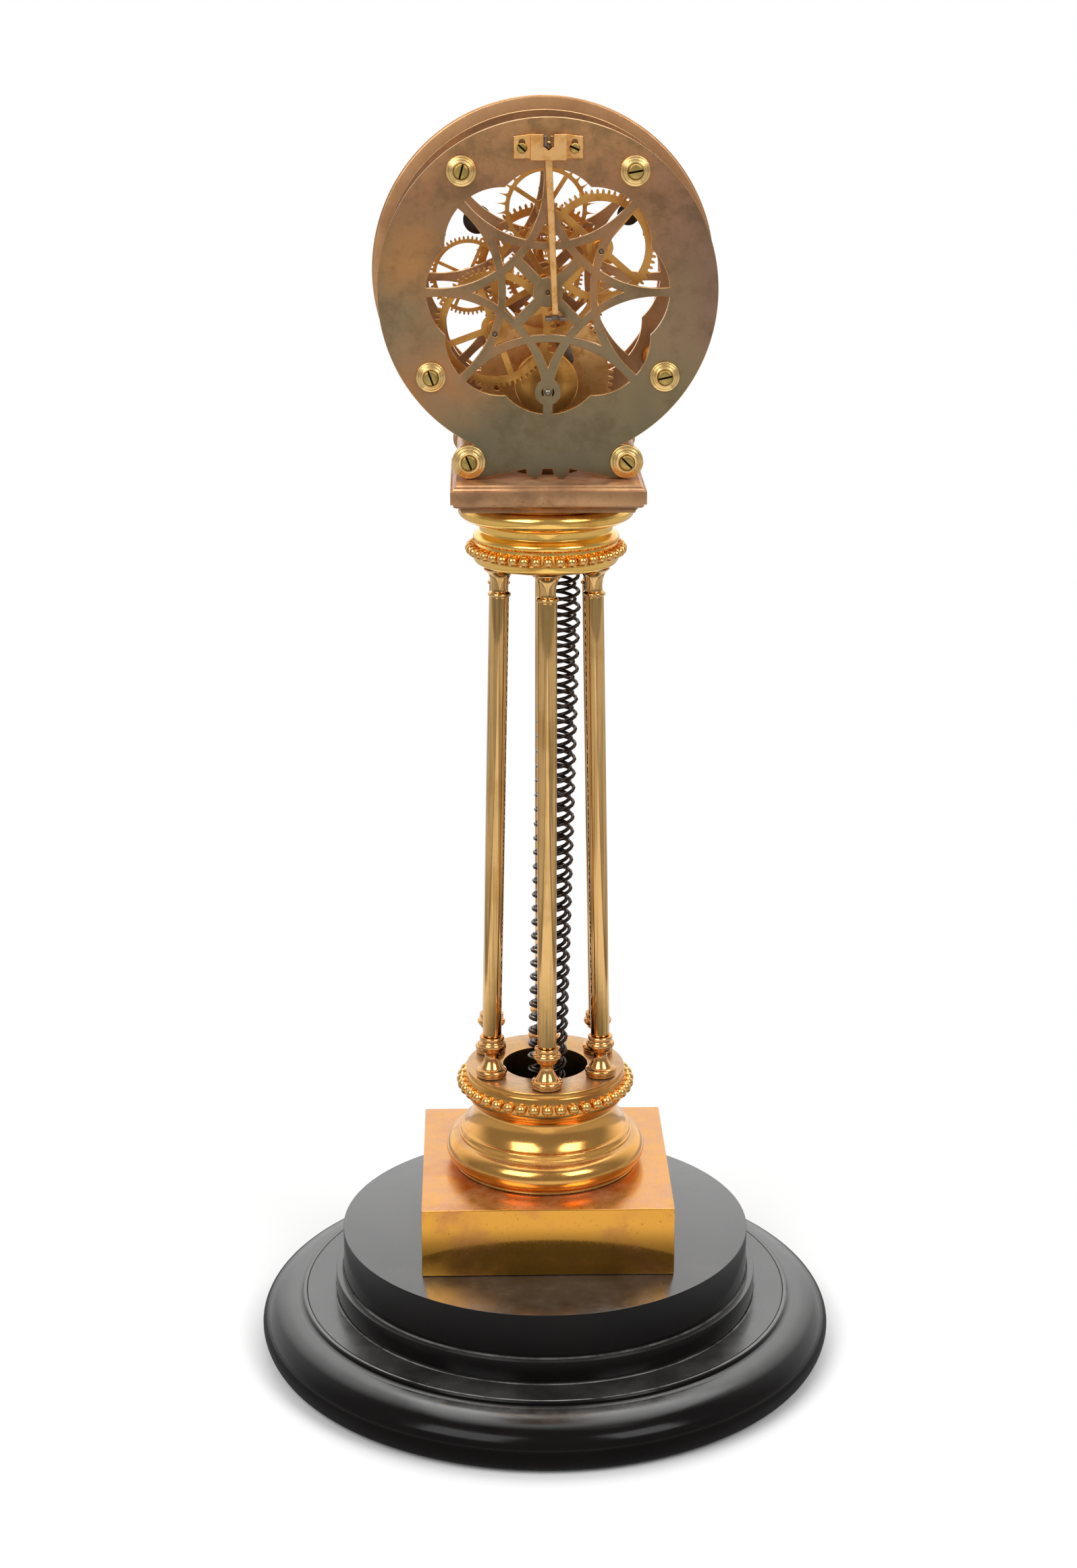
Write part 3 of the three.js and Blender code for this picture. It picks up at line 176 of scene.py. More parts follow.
def worn_metal(
        name, tones, gloss, clouds, level=0.55, brush=(1, 1, 1), specks=0.5, wave=0.05, detail=4, grain=0.003,
        tint=None, film=None, streaks=0):
    """A bare metal: two tones in soft clouds, dark specks, fine scratches and a slight waviness.

    A film dulls the faces that look up, and streaks are dark lines along the brush.
    """
    material, tree, out = blank_material(name)
    bright, patch, dark = tones
    spot = add(tree, "ShaderNodeTexCoord").outputs["Object"]
    patches = remap(tree, noise(tree, spot, clouds, detail), level - 0.1, level + 0.12, soft=True)
    colour = mixed(tree, patches, tint(tree, spot) if tint else bright, patch)
    flecks = remap(tree, noise(tree, spot, 1.6, 3, 0.7), 0.63, 0.76, 0, specks)
    colour = mixed(tree, flecks, colour, dark)
    along = add(tree, "ShaderNodeMapping", {"Vector": spot, "Scale": brush}).outputs["Vector"]
    lines = noise(tree, along, 0.7, 2)
    if streaks:
        colour = mixed(tree, remap(tree, noise(tree, along, 1.9, 2), 0.47, 0.62, 0, streaks), colour, dark)
    rough = remap(tree, lines, 0.3, 0.7, gloss - 0.04, gloss + 0.06)
    rough = calc(tree, "ADD", rough, calc(tree, "MULTIPLY", patches, 0.08))
    rough = calc(tree, "ADD", rough, calc(tree, "MULTIPLY", flecks, 0.3))
    if film:
        dust = remap(tree, noise(tree, spot, 16, 6, 0.75), 0.36, 0.62, 0.15, 0.7)
        dull = calc(tree, "MULTIPLY", upward(tree), dust)
        colour = mixed(tree, dull, colour, film)
        rough = calc(tree, "ADD", rough, calc(tree, "MULTIPLY", dull, 0.2))
        bare = calc(tree, "SUBTRACT", 1.0, calc(tree, "MULTIPLY", dull, 0.5))
    else:
        bare = 1.0
    fine = bumped(tree, lines, 0.3, grain)
    skin = add(tree, "ShaderNodeBsdfPrincipled", {
        "Base Color": colour, "Metallic": bare, "Roughness": rough,
        "Normal": bumped(tree, noise(tree, spot, clouds, 1), 0.5, wave, fine)})
    tree.links.new(skin.outputs[0], out.inputs["Surface"])
    return material


def upward(tree):
    """How far a face looks straight up."""
    facing = add(tree, "ShaderNodeTexCoord").outputs["Normal"]
    return remap(tree, add(tree, "ShaderNodeSeparateXYZ", {"Vector": facing}).outputs["Z"], 0.85, 1)


def plate_tarnish(tree, spot):
    """The back plate's tones: dull green at the foot, brown above, purple at the right, coppery on top."""
    place = add(tree, "ShaderNodeSeparateXYZ", {"Vector": spot}).outputs
    drift = calc(tree, "MULTIPLY", calc(tree, "SUBTRACT", noise(tree, spot, 50, 2), 0.5), 90 * MM)
    height = calc(tree, "ADD", place["Z"], drift)
    share = remap(tree, height, (CENTRE_Z - 80) * MM, (CENTRE_Z + 75) * MM)
    ramp = add(tree, "ShaderNodeValToRGB", {0: share})
    tones = ((0, "#786e57"), (0.18, "#917f60"), (0.35, "#a18968"), (0.55, "#9c805d"), (0.75, "#b4835e"),
             (1, "#d09c6a"))
    stops = ramp.color_ramp.elements
    for stop, (at, code) in zip(stops, (tones[0], tones[-1])):
        stop.position = at
        stop.color = (*linear(code), 1)
    for at, code in tones[1:-1]:
        stops.new(at).color = (*linear(code), 1)
    side = remap(tree, calc(tree, "ADD", place["X"], drift), 25 * MM, 75 * MM, 0, 0.7, soft=True)
    side = calc(tree, "MULTIPLY", side, remap(tree, height, (CENTRE_Z - 50) * MM, (CENTRE_Z - 10) * MM))
    colour = mixed(tree, side, ramp.outputs["Color"], linear("#9a7868"))
    away = add(tree, "ShaderNodeVectorMath", {
        0: spot, 1: (-60 * MM, BACK_FACE * MM, (CENTRE_Z + 14) * MM)}, operation="DISTANCE").outputs["Value"]
    away = calc(tree, "ADD", away, calc(tree, "MULTIPLY", drift, 0.4))
    stain = remap(tree, away, 2 * MM, 20 * MM, 0.8, 0, True)
    colour = mixed(tree, stain, colour, linear("#cb925c"))
    clouds = remap(tree, noise(tree, spot, 17, 6, 0.7), 0.42, 0.68, 0, 0.5, True)
    return mixed(tree, clouds, colour, linear("#67583c"))


class ClockSizes(bpy.types.PropertyGroup):
    edge: bpy.props.FloatProperty(
        name="Turned edge", description="Rounding of the turned brass edges", default=0.35 * MM,
        unit="LENGTH")
    wood_edge: bpy.props.FloatProperty(
        name="Wood edge", description="Rounding of the wooden edges", default=0.9 * MM, unit="LENGTH")
    chamfer: bpy.props.FloatProperty(
        name="Plate chamfer", description="Bright chamfer along the pierced plates",
        default=0.2 * MM, unit="LENGTH")
    wheel_chamfer: bpy.props.FloatProperty(
        name="Wheel chamfer", description="Chamfer along the wheels' edges", default=0.1 * MM, unit="LENGTH")
    socle_bead: bpy.props.FloatProperty(
        name="Socle bead", description="Radius of one bead round the socle", default=2.8 * MM, unit="LENGTH")
    capital_bead: bpy.props.FloatProperty(
        name="Capital bead", description="Radius of one bead round the capital",
        default=2.42 * MM, unit="LENGTH")
    wire: bpy.props.FloatProperty(
        name="Spring wire", description="Radius of the spring's wire", default=0.91 * MM, unit="LENGTH")
    line: bpy.props.FloatProperty(
        name="Line", description="Radius of the gut line", default=0.7 * MM, unit="LENGTH")
    screw_slot: bpy.props.FloatProperty(
        name="Screw slot", description="Width of a screw's slot", default=0.9 * MM, unit="LENGTH")


def colour_setting(name, description, code):
    return bpy.props.FloatVectorProperty(
        name=name, description=description, subtype="COLOR", default=linear(code))


class ClockColours(bpy.types.PropertyGroup):
    ebony: colour_setting("Ebonised wood", "Black polish on the base", "#080707")
    gilt: colour_setting("Gilt brass", "Socle", "#e0a558")
    gilt_bright: colour_setting("Bright gilding", "Capital", "#fccb6e")
    plinth: colour_setting("Plinth", "Gilt plate of the plinth", "#e2a244")
    collar: colour_setting("Collars", "Pale gilt collars under the screws", "#f6d08c")
    copper: colour_setting("Coppery patches", "Where the gilding has gone", "#c58444")
    shaft: colour_setting("Satin brass", "Columns", "#e6b978")
    plate_cloud: colour_setting("Back plate clouds", "Orange clouds of tarnish on the plate", "#bd865a")
    bronze: colour_setting("Front plate", "Coppery brown tarnish", "#c6986e")
    wheel: colour_setting("Wheels", "Golden wheel brass", "#e6ab5c")
    steel: colour_setting("Steel", "Arbors, pinions and pallets", "#8d857b")
    black_steel: colour_setting("Black steel", "Spring and hands", "#3a322e")
    gut: colour_setting("Gut", "The line from the spring to the drum", "#8f6a3c")


finishes = {}


def make_finishes():
    """All the clock's materials, kept by name."""
    colours = bpy.context.scene.clock_colours
    dark = linear("#4b3418")
    # Brass castings turned, polished and fire gilt: mirror bright, orange where the gold is thin
    finishes["gilt"] = worn_metal(
        "gilt_brass_polished", (colours.gilt, colours.copper, dark), 0.16, 26, 0.6, specks=0.3,
        wave=0.02, grain=0.002, film=linear("#a8957c"))
    # The turned collars under the screws, newly lacquered: pale and clean
    finishes["collar"] = worn_metal(
        "gilt_brass_collar", (colours.collar, linear("#deb068"), linear("#8a6428")), 0.2, 14, 0.6, specks=0,
        wave=0.005, grain=0.0005)
    # Small turned feet and soldered beads, burnished smooth, the gilding browner
    finishes["turned"] = worn_metal(
        "gilt_brass_turned", (linear("#dfa868"), linear("#c08a50"), dark), 0.14, 12, 0.56, specks=0.1,
        wave=0.005, grain=0.0005)
    # Cast beads, burnished less than the turnings: small highlights on a soft golden body
    finishes["bead"] = worn_metal(
        "gilt_brass_beads", (linear("#e6b066"), linear("#d09a52"), dark), 0.22, 12, 0.6, specks=0.1,
        wave=0.003, grain=0.0003)
    # Painted shade: near black brown on the faces of the screw slots and on the sleeve round the winding
    # arbor
    finishes["painted_shade_finish"] = worn_metal(
        "dark_painted_shade", (linear("#3c2c18"), linear("#2a2014"), linear("#17120c")), 0.6, 3, wave=0.01)
    # The capital, out of reach of hands: the gilding whole and yellow
    finishes["gilt_bright"] = worn_metal(
        "gilt_brass_bright", (colours.gilt_bright, linear("#dca04c"), dark), 0.15, 22, 0.6, specks=0.2,
        wave=0.01, grain=0.001)
    # The plinth's plate of the same brass, rubbed flat: bigger clouds, spots on its top
    finishes["plinth"] = worn_metal(
        "gilt_brass_plate", (colours.plinth, linear("#cf8c4c"), dark), 0.1, 30, 0.57, specks=0.55, wave=0.02,
        film=linear("#d09a78"))
    # The castings' bores, never polished: dark brown inside
    finishes["bore"] = worn_metal(
        "raw_brass_bore", (linear("#4e3d26"), linear("#3a2c1c"), linear("#1c150e")), 0.5, 9, wave=0.02)
    # Drawn brass tube polished lengthwise and lacquered: long soft reflections, dark lines along it
    finishes["shaft"] = worn_metal(
        "satin_brass_tube", (colours.shaft, linear("#d3a664"), linear("#7b5f38")), 0.05, 30, 0.55,
        (1, 1, 0.02), 0.3, 0.01, grain=0.02, streaks=0.5)
    # Rolled brass plate, never relacquered: green at the foot, brown above, orange clouds
    finishes["plate"] = worn_metal(
        "tarnished_brass_plate", (None, colours.plate_cloud, linear("#54482c")), 0.36, 62, 0.6,
        specks=0.35, wave=0.02, detail=2, tint=plate_tarnish)
    # The plate's filed chamfers and sides, pale gold: a painted highlight along the edges
    finishes["plate_edge"] = worn_metal(
        "brass_edge_painted_highlight", (linear("#e8bc80"), linear("#cf9f68"), linear("#8b6428")), 0.25, 9)
    # Cast brass gone coppery brown: front plate, table and chapter ring
    finishes["bronze"] = worn_metal(
        "coppery_brass_plate", (colours.bronze, linear("#9a7454"), linear("#4a3826")), 0.33, 28, 0.5,
        specks=0.7, wave=0.02, detail=6, film=linear("#e0b08a"))
    # The chapter ring's back, turned and left plain: lighter and pinker than the plates, the lightness partly
    # painted light against the shade on its back
    finishes["ring"] = worn_metal(
        "plain_brass_ring", (linear("#d8a878"), linear("#b98a62"), linear("#5a4630")), 0.38, 40, 0.52,
        wave=0.01)
    # Hard wheel brass, stoned flat and left with a soft even grain
    finishes["wheel"] = worn_metal(
        "wheel_brass", (colours.wheel, linear("#c88c46"), linear("#6a4a20")), 0.34, 18, 0.56,
        specks=0.2, wave=0.02)
    # Cast brass, sand grained and coloured orange by its old lacquer; the great wheel wears it too, brighter
    # than the other wheels: painted light against its shade
    finishes["cock"] = worn_metal(
        "cast_brass_lacquered", (linear("#ffc882"), linear("#dda058"), linear("#6e4818")), 0.36, 6,
        brush=(0.2, 1, 1), wave=0.02)
    # Turned brass screws, dulled green
    finishes["screw"] = worn_metal(
        "dull_brass_screw", (linear("#c4a662"), linear("#9c8848"), linear("#3f3a22")), 0.3, 5, wave=0.02)
    # Hardened steel, ground and slightly oily
    finishes["steel"] = worn_metal(
        "ground_steel", (colours.steel, linear("#75634c"), linear("#3a322a")), 0.3, 7, 0.52, wave=0.02)
    # Spring steel with its black scale from tempering
    finishes["black_steel"] = worn_metal(
        "blackened_steel", (colours.black_steel, linear("#4b4039"), linear("#0c0b0a")), 0.2, 8, 0.6,
        wave=0.01)
    finishes["ebony"] = ebonised_wood(colours.ebony)
    finishes["gut"] = gut_line(colours.gut)


def ebonised_wood(black):
    """Pear wood stained black and french polished: deep gloss, faint grain, dust in steps, and on flats a
    haze of dust and painted sheen; the sides reflect less than the tops, painted shade.
    """
    material, tree, out = blank_material("ebonised_wood")
    spot = add(tree, "ShaderNodeTexCoord").outputs["Object"]
    long = add(tree, "ShaderNodeMapping", {"Vector": spot, "Scale": (0.12, 1, 1)}).outputs["Vector"]
    grain = noise(tree, long, 1.2)
    parts = add(tree, "ShaderNodeSeparateXYZ", {"Vector": spot})
    level = add(tree, "ShaderNodeCombineXYZ", {"X": parts.outputs["X"], "Y": parts.outputs["Y"]})
    reach = add(
        tree, "ShaderNodeVectorMath", {0: level.outputs["Vector"]}, operation="LENGTH").outputs["Value"]
    section = add(tree, "ShaderNodeCombineXYZ", {"X": reach, "Z": parts.outputs["Z"]}).outputs["Vector"]
    dust = 0.0
    for radius, height in ((100.5, DRUM_STEP), (104.6, SEAT), (119.2, SEAT)):
        away = add(tree, "ShaderNodeVectorMath", {
            0: section, 1: (radius * MM, 0, height * MM)}, operation="DISTANCE").outputs["Value"]
        dust = calc(tree, "MAXIMUM", dust, remap(tree, away, 0.2 * MM, 0.8 * MM, 1, 0))
    dust = calc(tree, "MULTIPLY", dust, remap(tree, noise(tree, spot, 26, 6, 0.7), 0.36, 0.62, 0.12, 0.8))
    # Upward faces get a pale haze: dust, and painted sheen that lightens the tops
    film = calc(tree, "MULTIPLY", upward(tree), remap(tree, noise(tree, spot, 22, 5), 0.3, 0.7, 0.03, 0.1))
    flecks = remap(tree, noise(tree, spot, 2.2, 2, 0.8), 0.7, 0.76, 0, 0.5)
    dust = calc(tree, "MAXIMUM", dust, calc(tree, "ADD", film, calc(tree, "MULTIPLY", film, flecks)))
    worn = mixed(tree, noise(tree, spot, 40, 3), black, linear("#120f0e"))
    colour = mixed(tree, dust, worn, linear("#9d9a96"))
    rough = remap(tree, noise(tree, spot, 11, 6, 0.7), 0.3, 0.7, 0.1, 0.22)
    # Faces that don't look up get a grey specular tint and a lower specular level: painted shade on the
    # sides, the tops left fully reflective
    skin = add(tree, "ShaderNodeBsdfPrincipled", {
        "Base Color": colour, "Roughness": calc(tree, "ADD", rough, dust), "IOR": 1.68,
        "Specular IOR Level": remap(tree, upward(tree), 0, 1, 0.45, 1),
        "Normal": bumped(tree, grain, 0.3, 0.02),
        "Specular Tint": mixed(tree, upward(tree), linear("#767676"), linear("#ffffff"))})
    tree.links.new(skin.outputs[0], out.inputs["Surface"])
    return material


def gut_line(amber):
    """Twisted gut: amber, waxy, with the slanting ridges of its strands."""
    material, tree, out = blank_material("gut_line")
    spot = add(tree, "ShaderNodeTexCoord").outputs["Object"]
    slant = add(tree, "ShaderNodeMapping", {"Vector": spot, "Rotation": (0, radians(38), 0)})
    strands = add(tree, "ShaderNodeTexWave", {
        "Vector": slant.outputs["Vector"], "Scale": 1 / (3.2 * MM), "Distortion": 0.6},
        bands_direction="Z").outputs["Fac"]
    skin = add(tree, "ShaderNodeBsdfPrincipled", {
        "Base Color": mixed(tree, strands, amber, linear("#6a4a28")), "Roughness": 0.45, "IOR": 1.53,
        "Normal": bumped(tree, strands, 0.6, 0.1)})
    tree.links.new(skin.outputs[0], out.inputs["Surface"])
    return material


# Drawing

def begin(name):
    """An empty mesh of this name, open in edit mode."""
    if bpy.context.object and bpy.context.object.mode != "OBJECT":
        bpy.ops.object.mode_set(mode="OBJECT")
    bpy.ops.object.select_all(action="DESELECT")
    bpy.ops.mesh.primitive_plane_add(size=1)
    piece = bpy.context.object
    piece.name = name
    bpy.ops.object.mode_set(mode="EDIT")
    bpy.ops.mesh.select_mode(type="VERT")
    bpy.ops.mesh.select_all(action="SELECT")
    bpy.ops.mesh.delete(type="VERT")
    return piece


def draw(points, closed=True):
    """Draws a line through the points, given in millimetres, by extruding one vertex."""
    places = [Vector(p) * MM for p in points]
    if closed:
        places.append(places[0])
    bpy.ops.mesh.select_all(action="DESELECT")
    bpy.ops.mesh.primitive_plane_add(size=MM, location=places[0])
    bpy.ops.mesh.merge(type="CENTER")
    for before, after in zip(places, places[1:]):
        bpy.ops.mesh.extrude_vertices_move(TRANSFORM_OT_translate={"value": after - before})
    bpy.ops.mesh.select_linked()


def repeat(times, centre, axis):
    """Copies what is selected round an axis."""
    bpy.ops.mesh.spin(
        steps=times, dupli=True, angle=2 * pi, use_auto_merge=False,
        center=Vector(centre) * MM, axis=axis)


def knit():
    """Merges doubles and turns all faces outwards."""
    bpy.ops.mesh.select_all(action="SELECT")
    bpy.ops.mesh.remove_doubles(threshold=0.002 * MM)
    bpy.ops.mesh.normals_make_consistent(inside=False)


def pick(piece, test):
    """Selects the faces whose middle, in millimetres, and normal pass the test."""
    bpy.ops.mesh.select_mode(type="FACE")
    bpy.ops.mesh.select_all(action="DESELECT")
    mesh = bmesh.from_edit_mesh(piece.data)
    for face in mesh.faces:
        face.select_set(test(face.calc_center_median() / MM, face.normal))
    bmesh.update_edit_mesh(piece.data)


def pick_edges(piece, test):
    """Selects the edges both of whose ends pass the test."""
    bpy.ops.mesh.select_mode(type="EDGE")
    bpy.ops.mesh.select_all(action="DESELECT")
    mesh = bmesh.from_edit_mesh(piece.data)
    for edge in mesh.edges:
        edge.select_set(all(test(corner.co) for corner in edge.verts))
    bmesh.update_edit_mesh(piece.data)


def choose(piece):
    """Selects this piece alone and makes it the active one."""
    bpy.ops.object.select_all(action="DESELECT")
    piece.select_set(True)
    bpy.context.view_layer.objects.active = piece


def close(piece, edge=0.0, segments=2, smooth=32):
    """Leaves edit mode, rounds the sharp edges and shades the piece by angle."""
    if piece.mode == "EDIT":
        bpy.ops.object.mode_set(mode="OBJECT")
    choose(piece)
    if edge:
        bpy.ops.object.modifier_add(type="BEVEL")
        rounding = piece.modifiers[-1]
        rounding.width = edge
        rounding.segments = segments
        rounding.limit_method = "ANGLE"
        rounding.angle_limit = radians(28)
        bpy.ops.object.modifier_apply(modifier=rounding.name)
    bpy.ops.object.shade_smooth_by_angle(angle=radians(smooth))
    return piece


def place(piece, turn=(0, 0, 0), shift=(0, 0, 0)):
    """Turns and moves a piece, and puts that into its mesh."""
    choose(piece)
    piece.rotation_euler = [radians(t) for t in turn]
    piece.location = Vector(shift) * MM
    bpy.ops.object.transform_apply(location=True, rotation=True, scale=True)
    return piece


def copy_of(piece, name, turn=(0, 0, 0), shift=(0, 0, 0)):
    """A copy with a mesh of its own, turned and moved."""
    choose(piece)
    bpy.ops.object.duplicate(linked=False)
    made = bpy.context.object
    made.name = name
    return place(made, turn, shift)


def join(piece, *others):
    """Joins other pieces into this one."""
    choose(piece)
    for other in others:
        other.select_set(True)
    bpy.ops.object.join()
    return piece


def carve(piece, cutter, operation="DIFFERENCE"):
    """Cuts one piece by another, which is used up."""
    choose(piece)
    bpy.ops.object.modifier_add(type="BOOLEAN")
    knife = piece.modifiers[-1]
    knife.operation = operation
    knife.solver = "EXACT"
    knife.material_mode = "TRANSFER"
    knife.object = cutter
    bpy.ops.object.modifier_apply(modifier=knife.name)
    bpy.data.objects.remove(cutter)
    return piece


def dress(piece, finish, body, slot, *nodes):
    """Gives a piece its material if it has none, sets it on its body and hides the nodes it stands for. The
    slot is not used.
    """
    if not piece.data.materials:
        piece.data.materials.append(finishes[finish])
    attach(piece, body)
    if nodes:
        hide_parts(*nodes)
    return piece


def turned(name, rows, steps=96, centre=(0, 0, 0), along="Z", hollow=False):
    """Turns an outline of radius and height pairs, in millimetres, round an axis through the centre."""
    piece = begin(name)
    cx, cy, cz = centre
    if along == "Z":
        points = [(cx + r, cy, cz + h) for r, h in rows]
        axis = (0, 0, 1)
    else:
        points = [(cx + r, cy + h, cz) for r, h in rows]
        axis = (0, 1, 0)
    draw(points, closed=hollow)
    bpy.ops.mesh.spin(
        steps=steps, dupli=False, angle=2 * pi, use_auto_merge=True,
        center=Vector(centre) * MM, axis=axis)
    knit()
    return piece


def bow(centre, radius, start, end, steps):
    """Points of an arc in the outline's plane, angles in degrees."""
    turns = [radians(start + (end - start) * i / steps) for i in range(steps + 1)]
    return [(centre[0] + radius * cos(t), centre[1] + radius * sin(t)) for t in turns]


def lifted(rows, low):
    """Radius and height pairs, raised to stand on this height."""
    return [(radius, low + height) for radius, height in rows]


def smooth_through(points, steps):
    """A smooth line through the points."""
    ends = [points[0], *points, points[-1]]
    line = []
    for a, b, c, d in zip(ends, ends[1:], ends[2:], ends[3:]):
        for i in range(steps):
            t = i / steps
            line.append(tuple(
                0.5 * (2 * q + (r - p) * t + (2 * p - 5 * q + 4 * r - s) * t ** 2
                       + (3 * q - p - 3 * r + s) * t ** 3)
                for p, q, r, s in zip(a, b, c, d)))
    return [*line, points[-1]]


def upright(points, y, at=(0, 0)):
    """Flat outline points set upright in the movement's frame at depth y."""
    return [(at[0] + u, y, CENTRE_Z + at[1] + v) for u, v in points]


def plate_solid(piece, near, far, chamfer, bright=None):
    """Fills the drawn loops at depth near + chamfer, pulls them to a plate and chamfers both faces."""
    knit()
    bpy.ops.mesh.fill(use_beauty=True)
    bpy.ops.mesh.select_all(action="SELECT")
    depth = (far - near) * MM - 2 * chamfer
    bpy.ops.mesh.extrude_region_move(TRANSFORM_OT_translate={"value": (0, depth, 0)})
    knit()
    for side in (-1, 1):
        pick(piece, lambda middle, normal: normal.y * side > 0.9)
        bpy.ops.mesh.inset(
            thickness=chamfer, depth=chamfer, use_even_offset=True, use_boundary=True)
        # The sides and chamfers take the bright material: a painted highlight along the plate's edges
        if bright is not None:
            pick(piece, lambda middle, normal: abs(normal.y) < 0.9)
            piece.active_material_index = bright
            bpy.ops.object.material_slot_assign()
    bpy.ops.mesh.select_all(action="SELECT")
    return piece


def flat_piece(name, loops, near, far, at=(0, 0), chamfer=0.1 * MM, smooth=32):
    """A flat part cut from plate: an outline and its holes."""
    piece = begin(name)
    for loop in loops:
        draw(upright(loop, near + chamfer / MM, at))
    plate_solid(piece, near, far, chamfer)
    return close(piece, smooth=smooth)


def oblong(left, right, low, high):
    """The four corners of an upright oblong."""
    return [(left, low), (right, low), (right, high), (left, high)]


def around(centre, radius, sides, start=0):
    """A closed round of points."""
    return bow(centre, radius, start, start + 360, sides)[:-1]


def spun(points, angle):
    """Points turned about the centre, in degrees."""
    c, s = cos(radians(angle)), sin(radians(angle))
    return [(u * c - v * s, u * s + v * c) for u, v in points]


def polar(radius, angle):
    return (radius * cos(radians(angle)), radius * sin(radians(angle)))


def bearing(a, b):
    """Direction from one point to another, in degrees."""
    return degrees(atan2(b[1] - a[1], b[0] - a[0]))


def apart(a, b):
    return hypot(b[0] - a[0], b[1] - a[1])


# The base

class CLOCK_OT_base(bpy.types.Operator):
    """Turns the ebonised base and its stepped drum"""
    bl_idname = "clock.base"
    bl_label = "Base"

    def execute(self, context):
        sizes = context.scene.clock_sizes
        bulge = smooth_through([
            (133, 0), (137.6, 3.2), (140.2, 8.2), (140.7, 13.4), (138.6, 18.2), (134.2, 22),
            (128.6, 24.4), (123.4, 25.4)], 5)
        ledge = [
            (122.2, 25.4), (121, 26), (121, 27.4), (120.4, SEAT), (118.9, SEAT), (118.6, SEAT - 0.3),
            (118.3, SEAT)]
        recess = [(104.3, SEAT), (104.3, SEAT - 1.2), (0, SEAT - 1.2)]
        base = turned("ebonised_base", [(0, 0), (128, 0), *bulge, *ledge, *recess], 160)
        dress(close(base, smooth=28), "ebony", "frame", "ebony", "base_moulding")
        low = SEAT - 0.9
        drum = turned("stepped_drum", [
            (0, low), (104, low), (104, DRUM_STEP), (100.6, DRUM_STEP), (100.3, DRUM_STEP - 0.5),
            (100, DRUM_STEP), (100, BASE_TOP), (0, BASE_TOP)], 160)
        dress(close(drum, sizes.wood_edge, 3), "ebony", "frame", "ebony", "base_drum")
        return {"FINISHED"}


class CLOCK_OT_plinth(bpy.types.Operator):
    """Makes the square gilt plinth"""
    bl_idname = "clock.plinth"
    bl_label = "Plinth"

    def execute(self, context):
        bpy.ops.object.select_all(action="DESELECT")
        side, height = 120, 34
        bpy.ops.mesh.primitive_cube_add(
            size=MM, location=(0, 0, (PLINTH_LOW + height / 2) * MM), scale=(side, side, height))
        plinth = context.object
        plinth.name = "gilt_plinth"
        place(plinth, shift=plinth.location / MM)
        bpy.ops.object.mode_set(mode="EDIT")
        pick(plinth, lambda middle, normal: normal.z > 0.9)
        bpy.ops.mesh.inset(thickness=0.6 * MM, depth=0)
        bpy.ops.mesh.inset(thickness=12 * MM, depth=0)
        pick(plinth, lambda middle, normal: normal.z < -0.9)
        bpy.ops.mesh.inset(thickness=4 * MM, depth=0)
        bpy.ops.mesh.extrude_region_move(TRANSFORM_OT_translate={"value": (0, 0, 2 * MM)})
        dress(close(plinth, 0.45 * MM, 3), "plinth", "frame", "gilt", "plinth")
        return {"FINISHED"}


class CLOCK_OT_socle(bpy.types.Operator):
    """Turns the gilt socle and sets its ring of beads"""
    bl_idname = "clock.socle"
    bl_label = "Socle"

    def execute(self, context):
        sizes = context.scene.clock_sizes
        bore = 20.6
        height = SOCLE_TOP - SOCLE_LOW
        rows = [(bore, 0), (44.5, 0), (45.2, 0.7), *bow((41.4, 7.6), 7.1, -62, 78, 18)]
        rows += [(42.2, 14.7), (42.2, 15.9), (41.4, 16.3), (41.4, 18.4), (40.9, 18.9)]
        rows += smooth_through([(39.6, 19.3), (37.2, 22.4), (35.6, 26.4), (34.9, 30.2), (35, 32)], 4)
        rows += smooth_through([(35.2, 32.3), (36.6, 33), (38, 34.8), (38.9, 37), (39.2, 38.6)], 3)
        rows += [(39.2, 44.6), (38.9, 45.2), (38.7, 46.6), (38.4, 46.8), (38.4, 47.2), (38.7, 47.4)]
        rows += [(38.3, 49.4), (38, height), (bore, height)]
        socle = turned("gilt_socle", lifted(rows, SOCLE_LOW), 128, hollow=True)
        darken_bore(socle, "gilt", bore + 0.1)
        close(socle, sizes.edge, 2)
        beads = bead_ring("socle_beads", 40, 40.5, SOCLE_LOW + 41.7, sizes.socle_bead)
        dress(socle, "gilt", "frame", "gilt", "socle")
        dress(beads, "bead", "frame", "gilt")
        return {"FINISHED"}


def darken_bore(piece, finish, radius):
    """Gives a turning in edit mode its finish outside and the dark one in its bore."""
    piece.data.materials.append(finishes[finish])
    piece.data.materials.append(finishes["bore"])
    pick(piece, lambda middle, normal: middle.xy.length < radius)
    piece.active_material_index = 1
    bpy.ops.object.material_slot_assign()


def bead_ring(name, count, reach, height, radius):
    """A ring of soldered beads: one ball, then copied round."""
    piece = begin(name)
    half = bow((0, 0), radius / MM, -90, 90, 8)
    draw([(reach + u, 0, height + v) for u, v in half], closed=False)
    bpy.ops.mesh.spin(
        steps=14, dupli=False, angle=2 * pi, use_auto_merge=True,
        center=(reach * MM, 0, height * MM), axis=(0, 0, 1))
    knit()
    bpy.ops.mesh.select_all(action="SELECT")
    repeat(count, (0, 0, 0), (0, 0, 1))
    knit()
    return close(piece, smooth=60)


